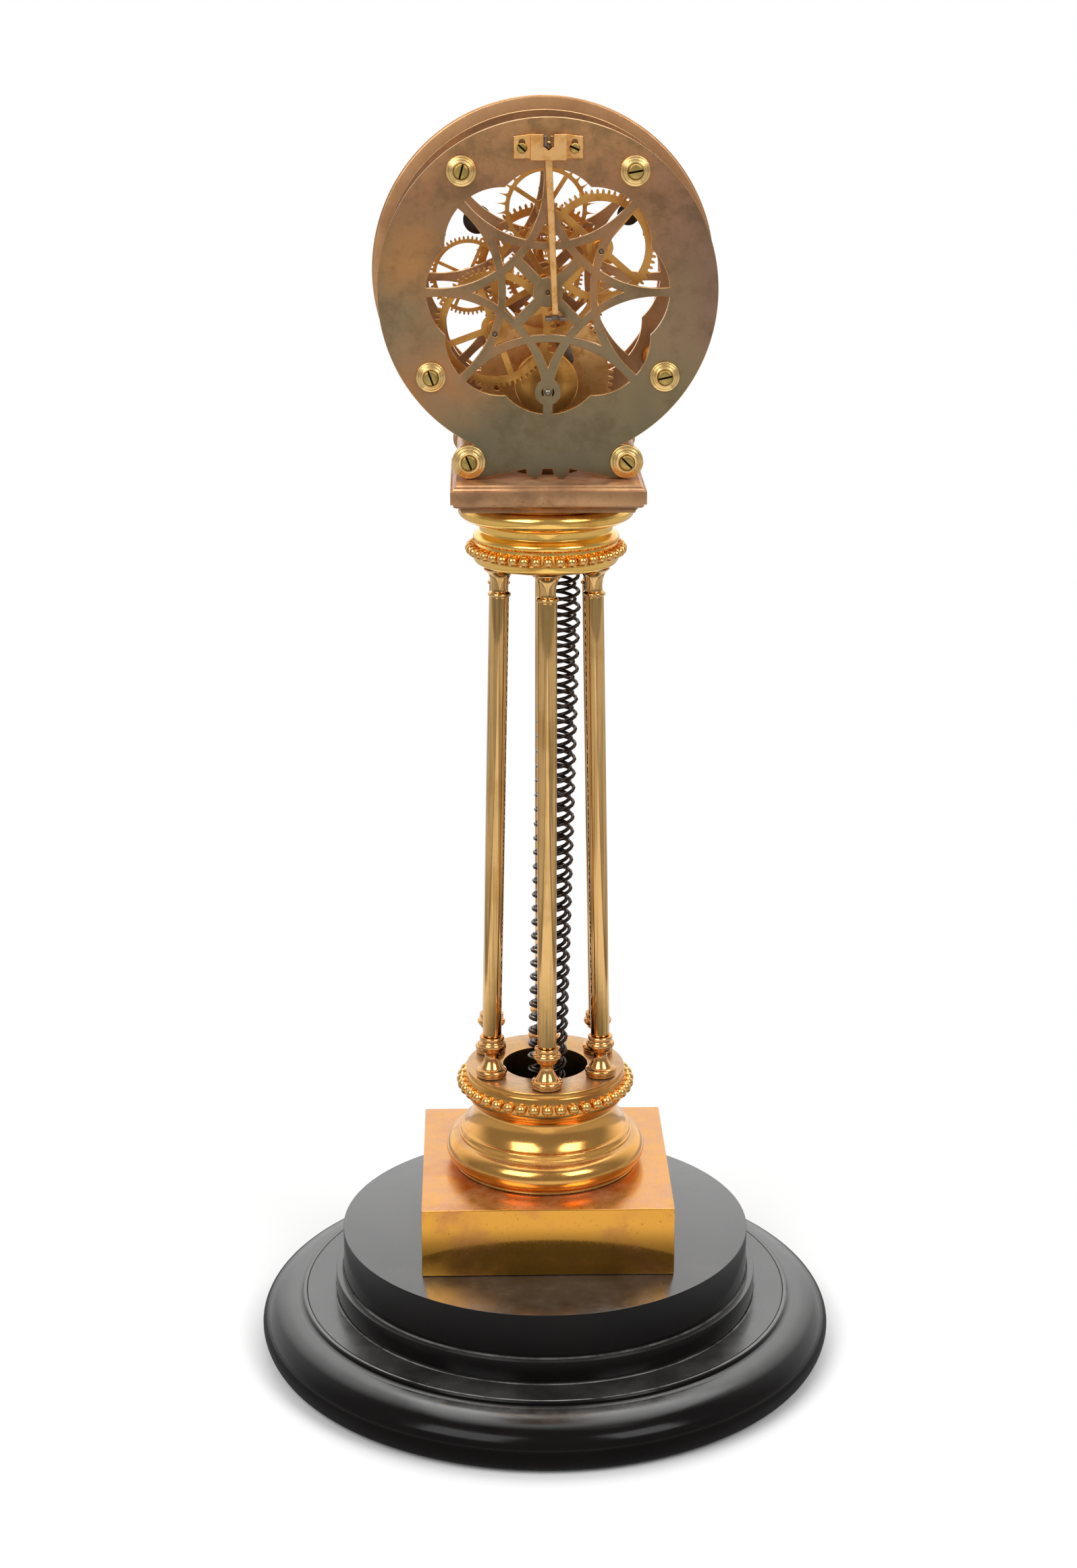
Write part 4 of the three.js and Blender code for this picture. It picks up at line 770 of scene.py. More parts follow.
class CLOCK_OT_columns(bpy.types.Operator):
    """Turns one column's foot and shaft and copies them round"""
    bl_idname = "clock.columns"
    bl_label = "Columns"

    def execute(self, context):
        sizes = context.scene.clock_sizes
        foot_rows = [(0, 0), (7.1, 0), (FOOT_REACH, 0.5), *bow((6.2, 2.4), 1.45, -52, 80, 8)]
        foot_rows += smooth_through([(5.6, 4.4), (4.6, 6), (3.5, 8.2), (3.2, 10), (3.7, 11.6), (5, 12.8)], 3)
        foot_rows += bow((5.1, 15.9), 1.7, -72, 72, 9)
        foot_rows += [(5.2, 18.4), (5.9, 18.8), (5.9, 19.8), (5.5, 20.3), (0, 20.3)]
        foot = close(turned("foot_pattern", foot_rows, 48), 0.15 * MM, 2)
        shaft_rows = [(0, 20.6), (4.5, 20.6), (4.5, 235.8)]
        shaft_rows += [*bow((4.2, 237), 1.1, -80, 80, 8), (4.05, 238.4), (3.9, 239.6)]
        shaft_rows += smooth_through([(3.9, 241), (4.2, 243.4), (5, 245.8), (6.3, 247.6), (7.3, 248.4)], 3)
        shaft_rows += [(7.4, COLUMN), (0, COLUMN)]
        shaft = close(turned("shaft_pattern", shaft_rows, 48), 0.12 * MM, 2)
        for i in range(6):
            angle = radians(-90 + 60 * i)
            seat = Vector((FOOT_CIRCLE * cos(angle), FOOT_CIRCLE * sin(angle), SOCLE_TOP + lean_gap()))
            spin = Matrix.Rotation(angle, 4, "Z") @ Matrix.Rotation(-LEAN, 4, "Y")
            for pattern, kind, finish, slot in (
                    (foot, "column_foot", "turned", "gilt"), (shaft, "column_shaft", "shaft", "shaft_brass")):
                turn = [degrees(t) for t in spin.to_euler()]
                made = copy_of(pattern, f"{kind}_turned_{i + 1}", turn, seat)
                dress(made, finish, "frame", slot, f"{kind}_{i + 1}")
        bpy.data.objects.remove(foot)
        bpy.data.objects.remove(shaft)
        return {"FINISHED"}


def lean_gap():
    """How far a leaning column's foot stands off the socle, in millimetres."""
    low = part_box("column_foot_1")[0]
    return low.z / MM + FOOT_REACH * sin(LEAN) - SOCLE_TOP


class CLOCK_OT_capital(bpy.types.Operator):
    """Turns the gilt capital and sets its ring of beads"""
    bl_idname = "clock.capital"
    bl_label = "Capital"

    def execute(self, context):
        sizes = context.scene.clock_sizes
        bore = 19
        height = 29.8
        rows = [(bore, 0), (31.6, 0), (32.6, 0.5), (33.4, 1.7), (33.5, 2.6), (33.5, 4.2), (33, 4.5)]
        rows += [(33, 8.9), (33.2, 9.4), *bow((31.8, 12.2), 1.9, -60, 62, 8)]
        rows += [(32.2, 14.4), (31.6, 14.8), (30.6, 15.4), (30.6, 18.6)]
        rows += smooth_through([
            (31.2, 19.4), (33.4, 20), (36.4, 20.4), (38.9, 21.6), (40.4, 23.6), (40.4, 26.2), (39, 28.2),
            (37.4, 29)], 4)
        rows += [(37, height), (bore, height)]
        capital = turned("gilt_capital", lifted(rows, CAPITAL_LOW), 128, hollow=True)
        darken_bore(capital, "gilt_bright", bore + 0.1)
        close(capital, sizes.edge * 0.6, 2)
        beads = bead_ring("capital_beads", 40, 35, CAPITAL_LOW + 6.6, sizes.capital_bead)
        dress(capital, "gilt", "frame", "gilt", "capital")
        dress(beads, "bead", "frame", "gilt")
        return {"FINISHED"}


class CLOCK_OT_table(bpy.types.Operator):
    """Makes the square moulded table under the movement"""
    bl_idname = "clock.table"
    bl_label = "Movement table"

    def execute(self, context):
        piece = begin("moulded_table")
        half = 43.6
        thick = TABLE_TOP - TABLE_LOW
        bore = 15
        rows = [(half - 5, 0), (half - 4.6, 1.2)]
        rows += smooth_through([(half - 3.6, 2.4), (half - 2, 2.9), (half - 1.3, 3.6), (half - 1.2, 4.4)], 3)
        rows += [(half, 4.6), (half, 10.5), (half - 1, 10.7)]
        rows += smooth_through([(half - 1.2, 10.9), (half - 1.5, 11.7), (half - 2.5, 12.2)], 3)
        rows += [(half - 2.6, thick)]
        draw([(r * 2 ** 0.5, 0, TABLE_LOW + h) for r, h in rows], closed=False)
        bpy.ops.mesh.spin(
            steps=4, dupli=False, angle=2 * pi, use_auto_merge=True, center=(0, 0, 0), axis=(0, 0, 1))
        knit()
        bpy.ops.mesh.select_all(action="DESELECT")
        for height in (0, thick):
            bpy.ops.mesh.primitive_circle_add(
                vertices=64, radius=bore * MM, location=(0, 0, (TABLE_LOW + height) * MM))
        near = 0.01 * MM
        for height in (0, thick):
            level = (TABLE_LOW + height) * MM
            pick_edges(piece, lambda spot: abs(spot.z - level) < near)
            bpy.ops.mesh.fill(use_beauty=True)
        pick_edges(piece, lambda spot: abs(spot.xy.length - bore * MM) < near)
        bpy.ops.mesh.bridge_edge_loops()
        knit()
        bpy.ops.object.mode_set(mode="OBJECT")
        place(piece, (0, 0, 45))
        dress(close(piece, 0.2 * MM, 2), "bronze", "frame", "bronze", "movement_table")
        return {"FINISHED"}


# The plates

def plate_rim():
    """The plate's outline: round, two ears under the collars, slanting foot and two tabs."""
    shoulder = bearing((0, 0), FOOT_PILLARS[1])
    arch = -(82.6 - 4.4)
    right = [(29.5, -82.2), *bow(FOOT_PILLARS[1], 7.5, -90, 90, 16)]
    tab = [(6 - 3.65, arch), *bow((6, -(82.6 - 3.65)), 3.65, -180, 0, 12), (6 + 3.65, arch)]
    crown = bow((0, 0), 75, shoulder + 1, 179 - shoulder, 150)
    mirror = [(-u, v) for u, v in reversed(right)]
    mirror_tab = [(-u, v) for u, v in reversed(tab)]
    return [*tab, *right, *crown, *mirror, *mirror_tab]


def crossing(c1, r1, c2, r2, outer=True):
    """Where two circles cross: the point farther from, or nearer to, the centre."""
    gap = apart(c1, c2)
    along = (r1 ** 2 - r2 ** 2 + gap ** 2) / (2 * gap)
    off = (r1 ** 2 - along ** 2) ** 0.5
    ux, uy = (c2[0] - c1[0]) / gap, (c2[1] - c1[1]) / gap
    mid = (c1[0] + along * ux, c1[1] + along * uy)
    ends = [(mid[0] - off * uy, mid[1] + off * ux), (mid[0] + off * uy, mid[1] - off * ux)]
    ends.sort(key=lambda p: hypot(*p))
    return ends[1] if outer else ends[0]


def arc_between(centre, a, b, steps):
    """Points of the short arc about a centre from a to b."""
    first = bearing(centre, a)
    sweep = (bearing(centre, b) - first + 180) % 360 - 180
    return bow(centre, apart(centre, a), first, first + sweep, steps)


def plate_windows():
    """One window of each kind: beside the boss, inside a band, and out in a lobe."""
    ring_in = 57.9
    ring_out = 46.4
    lobe = 25.3
    half = 2.35
    a = {k: polar(76.3, 45 * k) for k in (-1, 0, 1)}
    b = {k: polar(68.2, 45 * k) for k in (0, 1)}
    c = {k: polar(28.3, 45 * k) for k in (0, 1)}
    edge = degrees(asin(half / 6.6))
    reach = 76.3 - (ring_in ** 2 - half ** 2) ** 0.5
    upper = spun([(reach, -half)], 45)[0]
    lower = spun([(reach, half)], -45)[0]
    high = crossing(a[0], ring_in, a[1], ring_in, False)
    low = crossing(a[0], ring_in, a[-1], ring_in, False)
    beside_boss = [
        *bow((0, 0), 6.6, edge - 45, 45 - edge, 7), *arc_between(a[1], upper, high, 6),
        *arc_between(a[0], high, low, 12)[1:], *arc_between(a[-1], low, lower, 6)[1:]]
    tip = crossing(a[1], ring_in, a[-1], ring_in, False)
    left = crossing(a[1], ring_in, b[0], ring_out, False)
    right = crossing(a[-1], ring_in, b[0], ring_out, False)
    in_band = [
        *arc_between(a[1], tip, left, 8), *arc_between(b[0], left, right, 10)[1:],
        *arc_between(a[-1], right, tip, 8)[1:-1]]
    start = crossing(b[0], ring_out, b[1], ring_out, False)
    near = crossing(b[0], ring_out, c[1], lobe, True)
    cusp = crossing(c[0], lobe, c[1], lobe, True)
    far = crossing(b[1], ring_out, c[0], lobe, True)
    in_lobe = [
        *arc_between(b[0], start, near, 14), *arc_between(c[1], near, cusp, 8)[1:],
        *arc_between(c[0], cusp, far, 8)[1:], *arc_between(b[1], far, start, 14)[1:-1]]
    return (beside_boss, 4), (in_band, 8), (in_lobe, 8)


class CLOCK_OT_plates(bpy.types.Operator):
    """Cuts the two pierced plates, their chamfers and sides painted bright as a highlight"""
    bl_idname = "clock.plates"
    bl_label = "Pierced plates"

    def execute(self, context):
        chamfer = context.scene.clock_sizes.chamfer
        back = begin("pierced_back_plate")
        back.data.materials.append(finishes["plate"])
        back.data.materials.append(finishes["plate_edge"])
        near = BACK_FACE + chamfer / MM
        draw(upright(plate_rim(), near))
        for window, times in plate_windows():
            draw(upright(window, near))
            repeat(times, (0, near, CENTRE_Z), (0, 1, 0))
        for at, radius in (((0, 0), 1.2), (INTERMEDIATE_AT, 1.2), (THIRD_AT, 1.2), (PALLETS_AT, 2)):
            draw(upright(around((0, 0), radius, 20), near, at))
        plate_solid(back, BACK_FACE, BACK_INNER, chamfer, 1)
        close(back)
        boss = flat_piece(
            "winding_boss", [around((0, 0), 5.9, 40), around((0, 0), 2.8, 24)],
            BACK_FACE - 0.04, BACK_INNER + 0.04, DRUM_AT, chamfer)
        neck = flat_piece(
            "boss_neck", [oblong(-2.25, 2.25, 3, 14)],
            BACK_FACE - 0.02, BACK_INNER + 0.02, (DRUM_AT[0], DRUM_AT[1] - 17.5), chamfer)
        patch = flat_piece(
            "tip_patch", [oblong(-2.7, 2.7, -3.7, 7.3), around((0, 0), 1.2, 20)],
            BACK_FACE - 0.02, BACK_INNER + 0.02, ESCAPE_AT, chamfer)
        for piece in (boss, neck, patch):
            piece.data.materials.append(finishes["plate"])
        join(back, boss, neck, patch)
        front = copy_of(back, "pierced_front_plate", shift=(0, FRONT_FACE - BACK_INNER, 0))
        front.data.materials[0] = finishes["bronze"]
        dress(back, "plate", "frame", "plate_brass", "back_plate")
        dress(front, "bronze", "frame", "bronze", "front_plate")
        return {"FINISHED"}


def cut_slot(screw, outermost, turn, width, length):
    """Cuts a slot across a screw head on the level axis through the origin, its faces near black: painted
    shade.
    """
    screw.data.materials.append(finishes["screw"])
    bpy.ops.object.select_all(action="DESELECT")
    bpy.ops.mesh.primitive_cube_add(size=MM)
    cutter = bpy.context.object
    cutter.scale = (length, 2.4, width / MM)
    cutter.data.materials.append(finishes["painted_shade_finish"])
    place(cutter, (0, -turn, 0), (0, outermost + 0.2, 0))
    return close(carve(screw, cutter))


class CLOCK_OT_pillars(bpy.types.Operator):
    """Turns the pillars between the plates, with their collars and slotted screws"""
    bl_idname = "clock.pillars"
    bl_label = "Pillars and screws"

    def execute(self, context):
        sizes = context.scene.clock_sizes
        slots = (75, 10, -70, 12, -68, -45)
        places = (*UPPER_PILLARS, *LOWER_PILLARS, *FOOT_PILLARS)
        for kind, body, flange, washer, finish in (
                ("slim", 4.2, 6.2, 6.7, "wheel"), ("foot", 5.6, 6.9, 7.5, "bronze")):
            low = BACK_INNER + 0.3
            high = FRONT_INNER - 0.3
            rows = [(0, low), (flange, low), (flange, low + 2), (body + 0.9, low + 3)]
            rows += [(body, low + 3.4), (body, high - 3.4)]
            rows += [(body + 0.9, high - 3), (flange, high - 2), (flange, high), (0, high)]
            pillar = close(turned(f"{kind}_pillar", rows, 48, along="Y"), 0.2 * MM, 2)
            face = BACK_FACE - 0.3
            rows = [(0, 0), (washer - 0.2, 0), (washer, -0.3), (washer, -1), (washer - 0.3, -1.4)]
            rows += [(washer * 0.83, -1.5), (washer * 0.83, -2.1), (washer * 0.79, -2.5)]
            rows += [(washer * 0.67, -2.6), (washer * 0.66, -3.2), (washer * 0.62, -3.4), (3.6, -3.4)]
            rows += [(3.5, -2.8), (0, -2.8)]
            collar = close(turned(f"{kind}_collar", lifted(rows, face), 48, along="Y"), 0.1 * MM, 2)
            rows = [(0, -2.7), (3.3, -2.7), (3.3, -4.4), (2.9, -4.85), (1.6, -4.98), (0, -5)]
            head = close(turned(f"{kind}_screw", lifted(rows, face), 40, along="Y"), 0.08 * MM, 2)
            for i, at in enumerate(places):
                if (i >= 4) != (kind == "foot"):
                    continue
                shift = (at[0], 0, CENTRE_Z + at[1])
                made = copy_of(pillar, f"turned_pillar_{i + 1}", shift=shift)
                dress(made, finish, "frame", "bronze" if kind == "foot" else "wheel_brass", f"pillar_{i + 1}")
                ring = copy_of(collar, f"turned_collar_{i + 1}", shift=shift)
                dress(ring, "collar", "frame", "gilt", f"pillar_screw_{i + 1}")
                screw = copy_of(head, f"slotted_screw_{i + 1}")
                cut_slot(screw, face - 5, slots[i], sizes.screw_slot, 8)
                dress(place(screw, shift=shift), "screw", "frame", "gilt")
            bpy.data.objects.remove(head)
            bpy.data.objects.remove(pillar)
            bpy.data.objects.remove(collar)
        return {"FINISHED"}


# The going train

def tooth(teeth, pitch_radius, toward):
    """One tooth of a wheel, from the middle of a gap to the middle of the next."""
    module = 2 * pitch_radius / teeth
    root = pitch_radius - 1.4 * module
    rows = ((root, 0.5), (root, 0.27), (pitch_radius, 0.225), (pitch_radius + 0.55 * module, 0.15),
            (pitch_radius + 0.85 * module, 0.06))
    step = 360 / teeth
    up = [polar(r, toward - w * step) for r, w in rows]
    down = [polar(r, toward + w * step) for r, w in reversed(rows)]
    return [*up, *down]


def spoke_window(count, rim, hub, width, turn):
    """One window between two spokes."""
    half = 180 / count
    edge = [degrees(asin(width / 2 / r)) for r in (rim, hub)]
    outer = bow((0, 0), rim, turn + edge[0], turn + 2 * half - edge[0], 14)
    inner = bow((0, 0), hub, turn + 2 * half - edge[1], turn + edge[1], 6)
    return [*outer, *inner]


def cut_wheel(name, at, teeth, pitch_radius, toward, near, far, spokes, rim, hub, width, turn, bore,
              chamfer, one_tooth=None, holes=()):
    """A wheel cut from sheet brass: teeth, spokes and bore."""
    piece = begin(name)
    depth = near + chamfer / MM
    centre = (at[0], depth, CENTRE_Z + at[1])
    draw(upright(one_tooth or tooth(teeth, pitch_radius, toward), depth, at), closed=False)
    repeat(teeth, centre, (0, 1, 0))
    if spokes:
        draw(upright(spoke_window(spokes, rim, hub, width, turn), depth, at))
        repeat(spokes, centre, (0, 1, 0))
    draw(upright(around((0, 0), bore, 24), depth, at))
    for hole in holes:
        draw(upright(around(hole, 1.3, 20), depth, at))
    plate_solid(piece, near, far, chamfer)
    return close(piece)


def rod(name, rows, steps, at, edge=0.0, hollow=False):
    """A turning that lies level in the movement, on an arbor's place."""
    return close(turned(name, rows, steps, (at[0], 0, CENTRE_Z + at[1]), "Y", hollow), edge, 2)


def sleeve(name, rows, steps, at):
    """A hollow turning with softened edges."""
    return rod(name, rows, steps, at, 0.12 * MM, True)


def add_collet(wheel, name, at, low, reach, length):
    """Joins the collet that fastens a wheel to its arbor, on the wheel's back."""
    face = low - 0.02
    rows = [(1.65, low - length), (reach - 0.4, low - length), (reach, low - length + 0.7), (reach, face)]
    join(wheel, rod(name, [*rows, (1.65, face)], 32, at, hollow=True))


def pinion_on_arbor(name, at, leaves, pitch_radius, toward, near, far, rows, root_share=1.5):
    """A steel arbor with its pinion leaves."""
    module = 2 * pitch_radius / leaves
    step = 360 / leaves
    root = pitch_radius - root_share * module
    leaf = ((root, 0.5), (root, 0.26), (pitch_radius, 0.16), (pitch_radius + 0.4 * module, 0.1),
            (pitch_radius + 0.55 * module, 0.03))
    up = [polar(r, toward + (0.5 - w) * step) for r, w in leaf]
    down = [polar(r, toward + (0.5 + w) * step) for r, w in reversed(leaf)]
    piece = begin(name)
    depth = near + 0.08
    draw(upright([*up, *down], depth, at), closed=False)
    repeat(leaves, (at[0], depth, CENTRE_Z + at[1]), (0, 1, 0))
    plate_solid(piece, near, far, 0.08 * MM)
    close(piece)
    return join(piece, rod(f"{name}_rod", rows, 32, at, 0.06 * MM))


def arbor_rows():
    """A train arbor: pivots through both plates and the body between them."""
    low = BACK_INNER + 1
    high = FRONT_INNER - 1
    return [
        (0, BACK_FACE + 0.15), (0.6, BACK_FACE + 0.15), (0.9, BACK_FACE + 0.45), (0.9, low), (1.3, low + 0.2),
        (1.6, low + 1), (1.6, high - 1), (1.3, high - 0.2), (0.9, high), (0.9, FRONT_FACE - 0.45),
        (0.6, FRONT_FACE - 0.15), (0, FRONT_FACE - 0.15)]


class CLOCK_OT_train(bpy.types.Operator):
    """Cuts the wheels of the going train and turns their arbors"""
    bl_idname = "clock.train"
    bl_label = "Going train"

    def execute(self, context):
        chamfer = context.scene.clock_sizes.wheel_chamfer
        pairs = {
            "great": (DRUM_AT, INTERMEDIATE_AT, 64), "intermediate": (INTERMEDIATE_AT, (0, 0), 64),
            "centre": ((0, 0), THIRD_AT, 64), "third": (THIRD_AT, ESCAPE_AT, 60)}
        pitch = {n: apart(a, b) * t / (t + 8) for n, (a, b, t) in pairs.items()}
        toward = {n: bearing(a, b) for n, (a, b, t) in pairs.items()}
        for name, near, turn in (("intermediate", 19, 20), ("centre", 42, 30), ("third", 14, 49)):
            at, _, teeth = pairs[name]
            rim = pitch[name] * (1 - 3 / teeth) - 3.2
            low = BACK_INNER + near
            wheel = cut_wheel(
                f"{name}_wheel_cut", at, teeth, pitch[name], toward[name], low, low + 1.8,
                4, rim, 6, 2.9, turn, 1.9, chamfer)
            add_collet(wheel, f"{name}_collet", at, low, 3.4, 1.6)
            dress(wheel, "wheel", name, "wheel_brass", f"{name}_wheel")
        for name, driver, depth, thick in (
                ("intermediate", "great", 50, 2.4), ("third", "centre", 42, 1.8),
                ("escape", "third", 14, 1.8)):
            here, there = pairs[driver][1], pairs[driver][0]
            low = BACK_INNER + depth - (4.4 - thick) / 2
            made = pinion_on_arbor(
                f"{name}_pinion", here, 8, pitch[driver] * 8 / pairs[driver][2], bearing(here, there),
                low, low + 4.4, arbor_rows())
            dress(made, "steel", name, "steel", f"{name}_arbor")
        near, far = BACK_INNER + 50, BACK_INNER + 52.4
        great = cut_wheel(
            "great_wheel_cut", DRUM_AT, 64, pitch["great"], toward["great"], near, far,
            0, 0, 0, 0, 0, 2.75, chamfer, holes=around((0, 0), 23, 3, -45))
        across, above = polar(*CLICK_AT)
        rows = [(0, 20.9), (1.3, 20.9), (1.45, 21.1), (1.45, 27), (0, 27)]
        join(great, rod("click_stud", rows, 24, (DRUM_AT[0] + across, DRUM_AT[1] + above)))
        # The great wheel takes the bright cast brass: painted light that lifts it out of the shade it stands
        # in
        dress(great, "cock", "great", "wheel_brass", "great_wheel")
        return {"FINISHED"}


class CLOCK_OT_escapement(bpy.types.Operator):
    """Cuts the escape wheel with its long pointed teeth"""
    bl_idname = "clock.escapement"
    bl_label = "Escape wheel"

    def execute(self, context):
        chamfer = context.scene.clock_sizes.wheel_chamfer
        step = 12
        first = 90 - 42 + step / 2
        root = 18.4
        one = [
            (root, -0.5), (root, -0.3), (root + 0.5, -0.17), (20.4, -0.07), (21.9, -0.012), (21.9, 0.01),
            (20.2, 0.03), (root + 0.4, 0.1), (root, 0.2), (root, 0.5)]
        points = [polar(r, first + w * step) for r, w in one]
        low = BACK_INNER + 34
        wheel = cut_wheel(
            "escape_wheel_cut", ESCAPE_AT, 30, 0, 0, low, low + 1.4, 4, root - 1.9, 4.6, 2, 57, 1.9,
            chamfer, points)
        add_collet(wheel, "escape_collet", ESCAPE_AT, low, 3.2, 1.5)
        dress(wheel, "wheel", "escape", "wheel_brass", "escape_wheel")
        return {"FINISHED"}


class CLOCK_OT_spring(bpy.types.Operator):
    """Coils the drive spring and draws the line from its hook"""
    bl_idname = "clock.spring"
    bl_label = "Drive spring and line"

    def execute(self, context):
        sizes = context.scene.clock_sizes
        spring = tube("coiled_spring", self.coil(8.9, 41.4, 0.21), sizes.wire, 1)
        join(spring, tube("inner_coil", self.coil(7.05, 40.9, 0.26), sizes.wire, 1))
        dress(spring, "black_steel", "frame", "black_steel", "drive_spring")
        line = tube("gut_line", [(*HOOK_AT, HOOK_TOP), (7.6, 6, 430), (8.5, 6, DRUM_LEVEL)], sizes.line, 2)
        dress(line, "gut", "frame", "gut", "drive_line")
        for piece in (spring, line):
            piece.parent = None
        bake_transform(spring)
        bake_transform(line)
        return {"FINISHED"}

    def coil(self, radius, turns, lag):
        """A coil from its anchor to its hook, more open towards the top, narrower near the hook."""
        start = Vector((0, 0, SPRING_LOW + 2.4))
        end = Vector((*HOOK_AT, SPRING_HIGH - 2.4))
        steps = round(turns * 20)
        route = [(0, 0, SPRING_LOW)]
        for i in range(steps + 1):
            share = i / steps
            left = turns * (1 - share)
            reach = radius * min(1, 2 * turns * share, 2 * left, 0.8 + 0.05 * left)
            angle = 2 * pi * (turns * share - lag)
            middle = start.lerp(end, share)
            middle.z = start.z + (end.z - start.z) * (0.94 * share + 0.06 * share ** 2)
            route.append((middle.x + reach * cos(angle), middle.y + reach * sin(angle), middle.z))
        return [*route, (*HOOK_AT, SPRING_HIGH)]


def tube(name, route, radius, smoothing):
    """A round wire along a route, made a closed mesh."""
    begin(name)
    draw(route, closed=False)
    bpy.ops.object.mode_set(mode="OBJECT")
    bpy.ops.object.convert(target="CURVE")
    curve = bpy.context.object.data
    curve.bevel_depth = radius
    curve.bevel_resolution = smoothing
    curve.use_fill_caps = True
    bpy.ops.object.convert(target="MESH")
    return close(bpy.context.object, smooth=70)


# The winding work

class CLOCK_OT_winding(bpy.types.Operator):
    """Turns the line drum and its arbor, and cuts the ratchet wheel and the click"""
    bl_idname = "clock.winding"
    bl_label = "Winding work"

    def execute(self, context):
        sizes = context.scene.clock_sizes
        flange = BACK_INNER + 23.4
        barrel = 7.5
        drum = sleeve("turned_line_drum", [
            (2.75, flange), (14.1, flange), (14.4, flange + 0.3), (14.4, flange + 1.3), (14.1, flange + 1.6),
            (barrel, flange + 1.6), (barrel, flange + 15), (9.3, flange + 15), (9.6, flange + 15.3),
            (9.6, flange + 16.3), (9.3, flange + 16.6), (2.75, flange + 16.6)], 96, DRUM_AT)
        dress(drum, "wheel", "drum", "wheel_brass", "line_drum")
        reach = barrel + 1.4 * sizes.line / MM
        turns, per = 4, 40
        coil = []
        for i in range(turns * per + 1):
            u, v = polar(reach, 360 * i / per)
            coil.append((DRUM_AT[0] + u, 6 + 1.5 * i / per, CENTRE_Z + DRUM_AT[1] + v))
        dress(tube("wound_line", coil, sizes.line, 2), "gut", "drum", "gut")

        low = BACK_INNER + 44.8
        count = 18
        step = 360 / count
        teeth = [point for i in range(count) for point in (
            polar(10.6, i * step), polar(9.6, (i + 0.06) * step), polar(9.3, (i + 0.14) * step),
            polar(9.9, (i + 0.6) * step))]
        ratchet = flat_piece(
            "cut_ratchet", [teeth, around((0, 0), 2.75, 32)], low, low + 2, DRUM_AT, 0.12 * MM)
        dress(ratchet, "steel", "drum", "steel", "ratchet_wheel")
        pivot = polar(*CLICK_AT)
        boss = bow(pivot, 3, 2, 222, 22)
        tip, heel = polar(10.95, 24), polar(12.45, 21)
        click = flat_piece(
            "filed_click", [[heel, (13.4, 7.4), *boss, (9.6, 9.6), tip], around(pivot, 1.8, 24)],
            low, low + 2, DRUM_AT, 0.15 * MM)
        dress(click, "steel", "click_lever", "steel", "click")

        rows = [
            (0, BACK_FACE - 1), (0.7, BACK_FACE - 0.9), (1.3, BACK_FACE - 0.5), (1.7, BACK_FACE + 0.1),
            (1.85, BACK_FACE + 0.8), (1.85, BACK_INNER), (2.45, BACK_INNER + 0.1), (2.45, 44.4), (2.2, 44.7),
            (0, 44.7)]
        arbor = rod("turned_winding_arbor", rows, 40, DRUM_AT, 0.1 * MM)
        square = flat_piece(
            "key_square", [oblong(-1.8, 1.8, -1.8, 1.8)], 44.4, 56, DRUM_AT, 0.25 * MM)
        join(arbor, square)
        dress(arbor, "steel", "drum", "steel", "winding_arbor")
        # A dark sleeve fills the gap round the winding arbor in the boss hole: painted shade
        shade_sleeve = sleeve("shade_filling_sleeve", [
            (1.95, BACK_FACE + 0.5), (2.75, BACK_FACE + 0.5), (2.75, BACK_INNER - 0.3),
            (1.95, BACK_INNER - 0.3)], 40, DRUM_AT)
        dress(shade_sleeve, "painted_shade_finish", "frame", "steel")
        return {"FINISHED"}


# The escapement's crutch and cock

class CLOCK_OT_crutch(bpy.types.Operator):
    """Files the crutch and its steel fork"""
    bl_idname = "clock.crutch"
    bl_label = "Crutch and fork"

    def execute(self, context):
        far = BACK_FACE - 1.2
        near = far - 2
        foot = polar(72, 2.5 - 90)
        eye = bow((0, 0), 2.3, -48, 228, 24)
        bar = flat_piece(
            "filed_crutch", [
                [(foot[0] - 1.3, foot[1]), (foot[0] + 1.3, foot[1]), *eye], around((0, 0), 1.2, 20)],
            near, far, PALLETS_AT, 0.3 * MM)
        dress(bar, "cock", "pallet", "shaft_brass", "crutch")
        top = foot[1] - 0.3
        plate = [(-4.4, top - 2), (4.4, top - 2), (4.4, top - 0.3), (1.6, top - 0.3), (1.6, top), (-1.6, top),
                 (-1.6, top - 0.3), (-4.4, top - 0.3)]
        fork = flat_piece(
            "steel_fork", [[(foot[0] + u, v) for u, v in plate]], near + 0.4, far, PALLETS_AT, 0.15 * MM)
        for side in (-1, 1):
            middle = foot[0] + side * 3
            prong = flat_piece(
                "prong", [oblong(middle - 1.4, middle + 1.4, top - 1.7, top - 0.3)],
                near - 6.5, near + 0.45, PALLETS_AT, 0.2 * MM)
            join(fork, prong)
        dress(fork, "steel", "pallet", "steel", "crutch_fork")
        return {"FINISHED"}


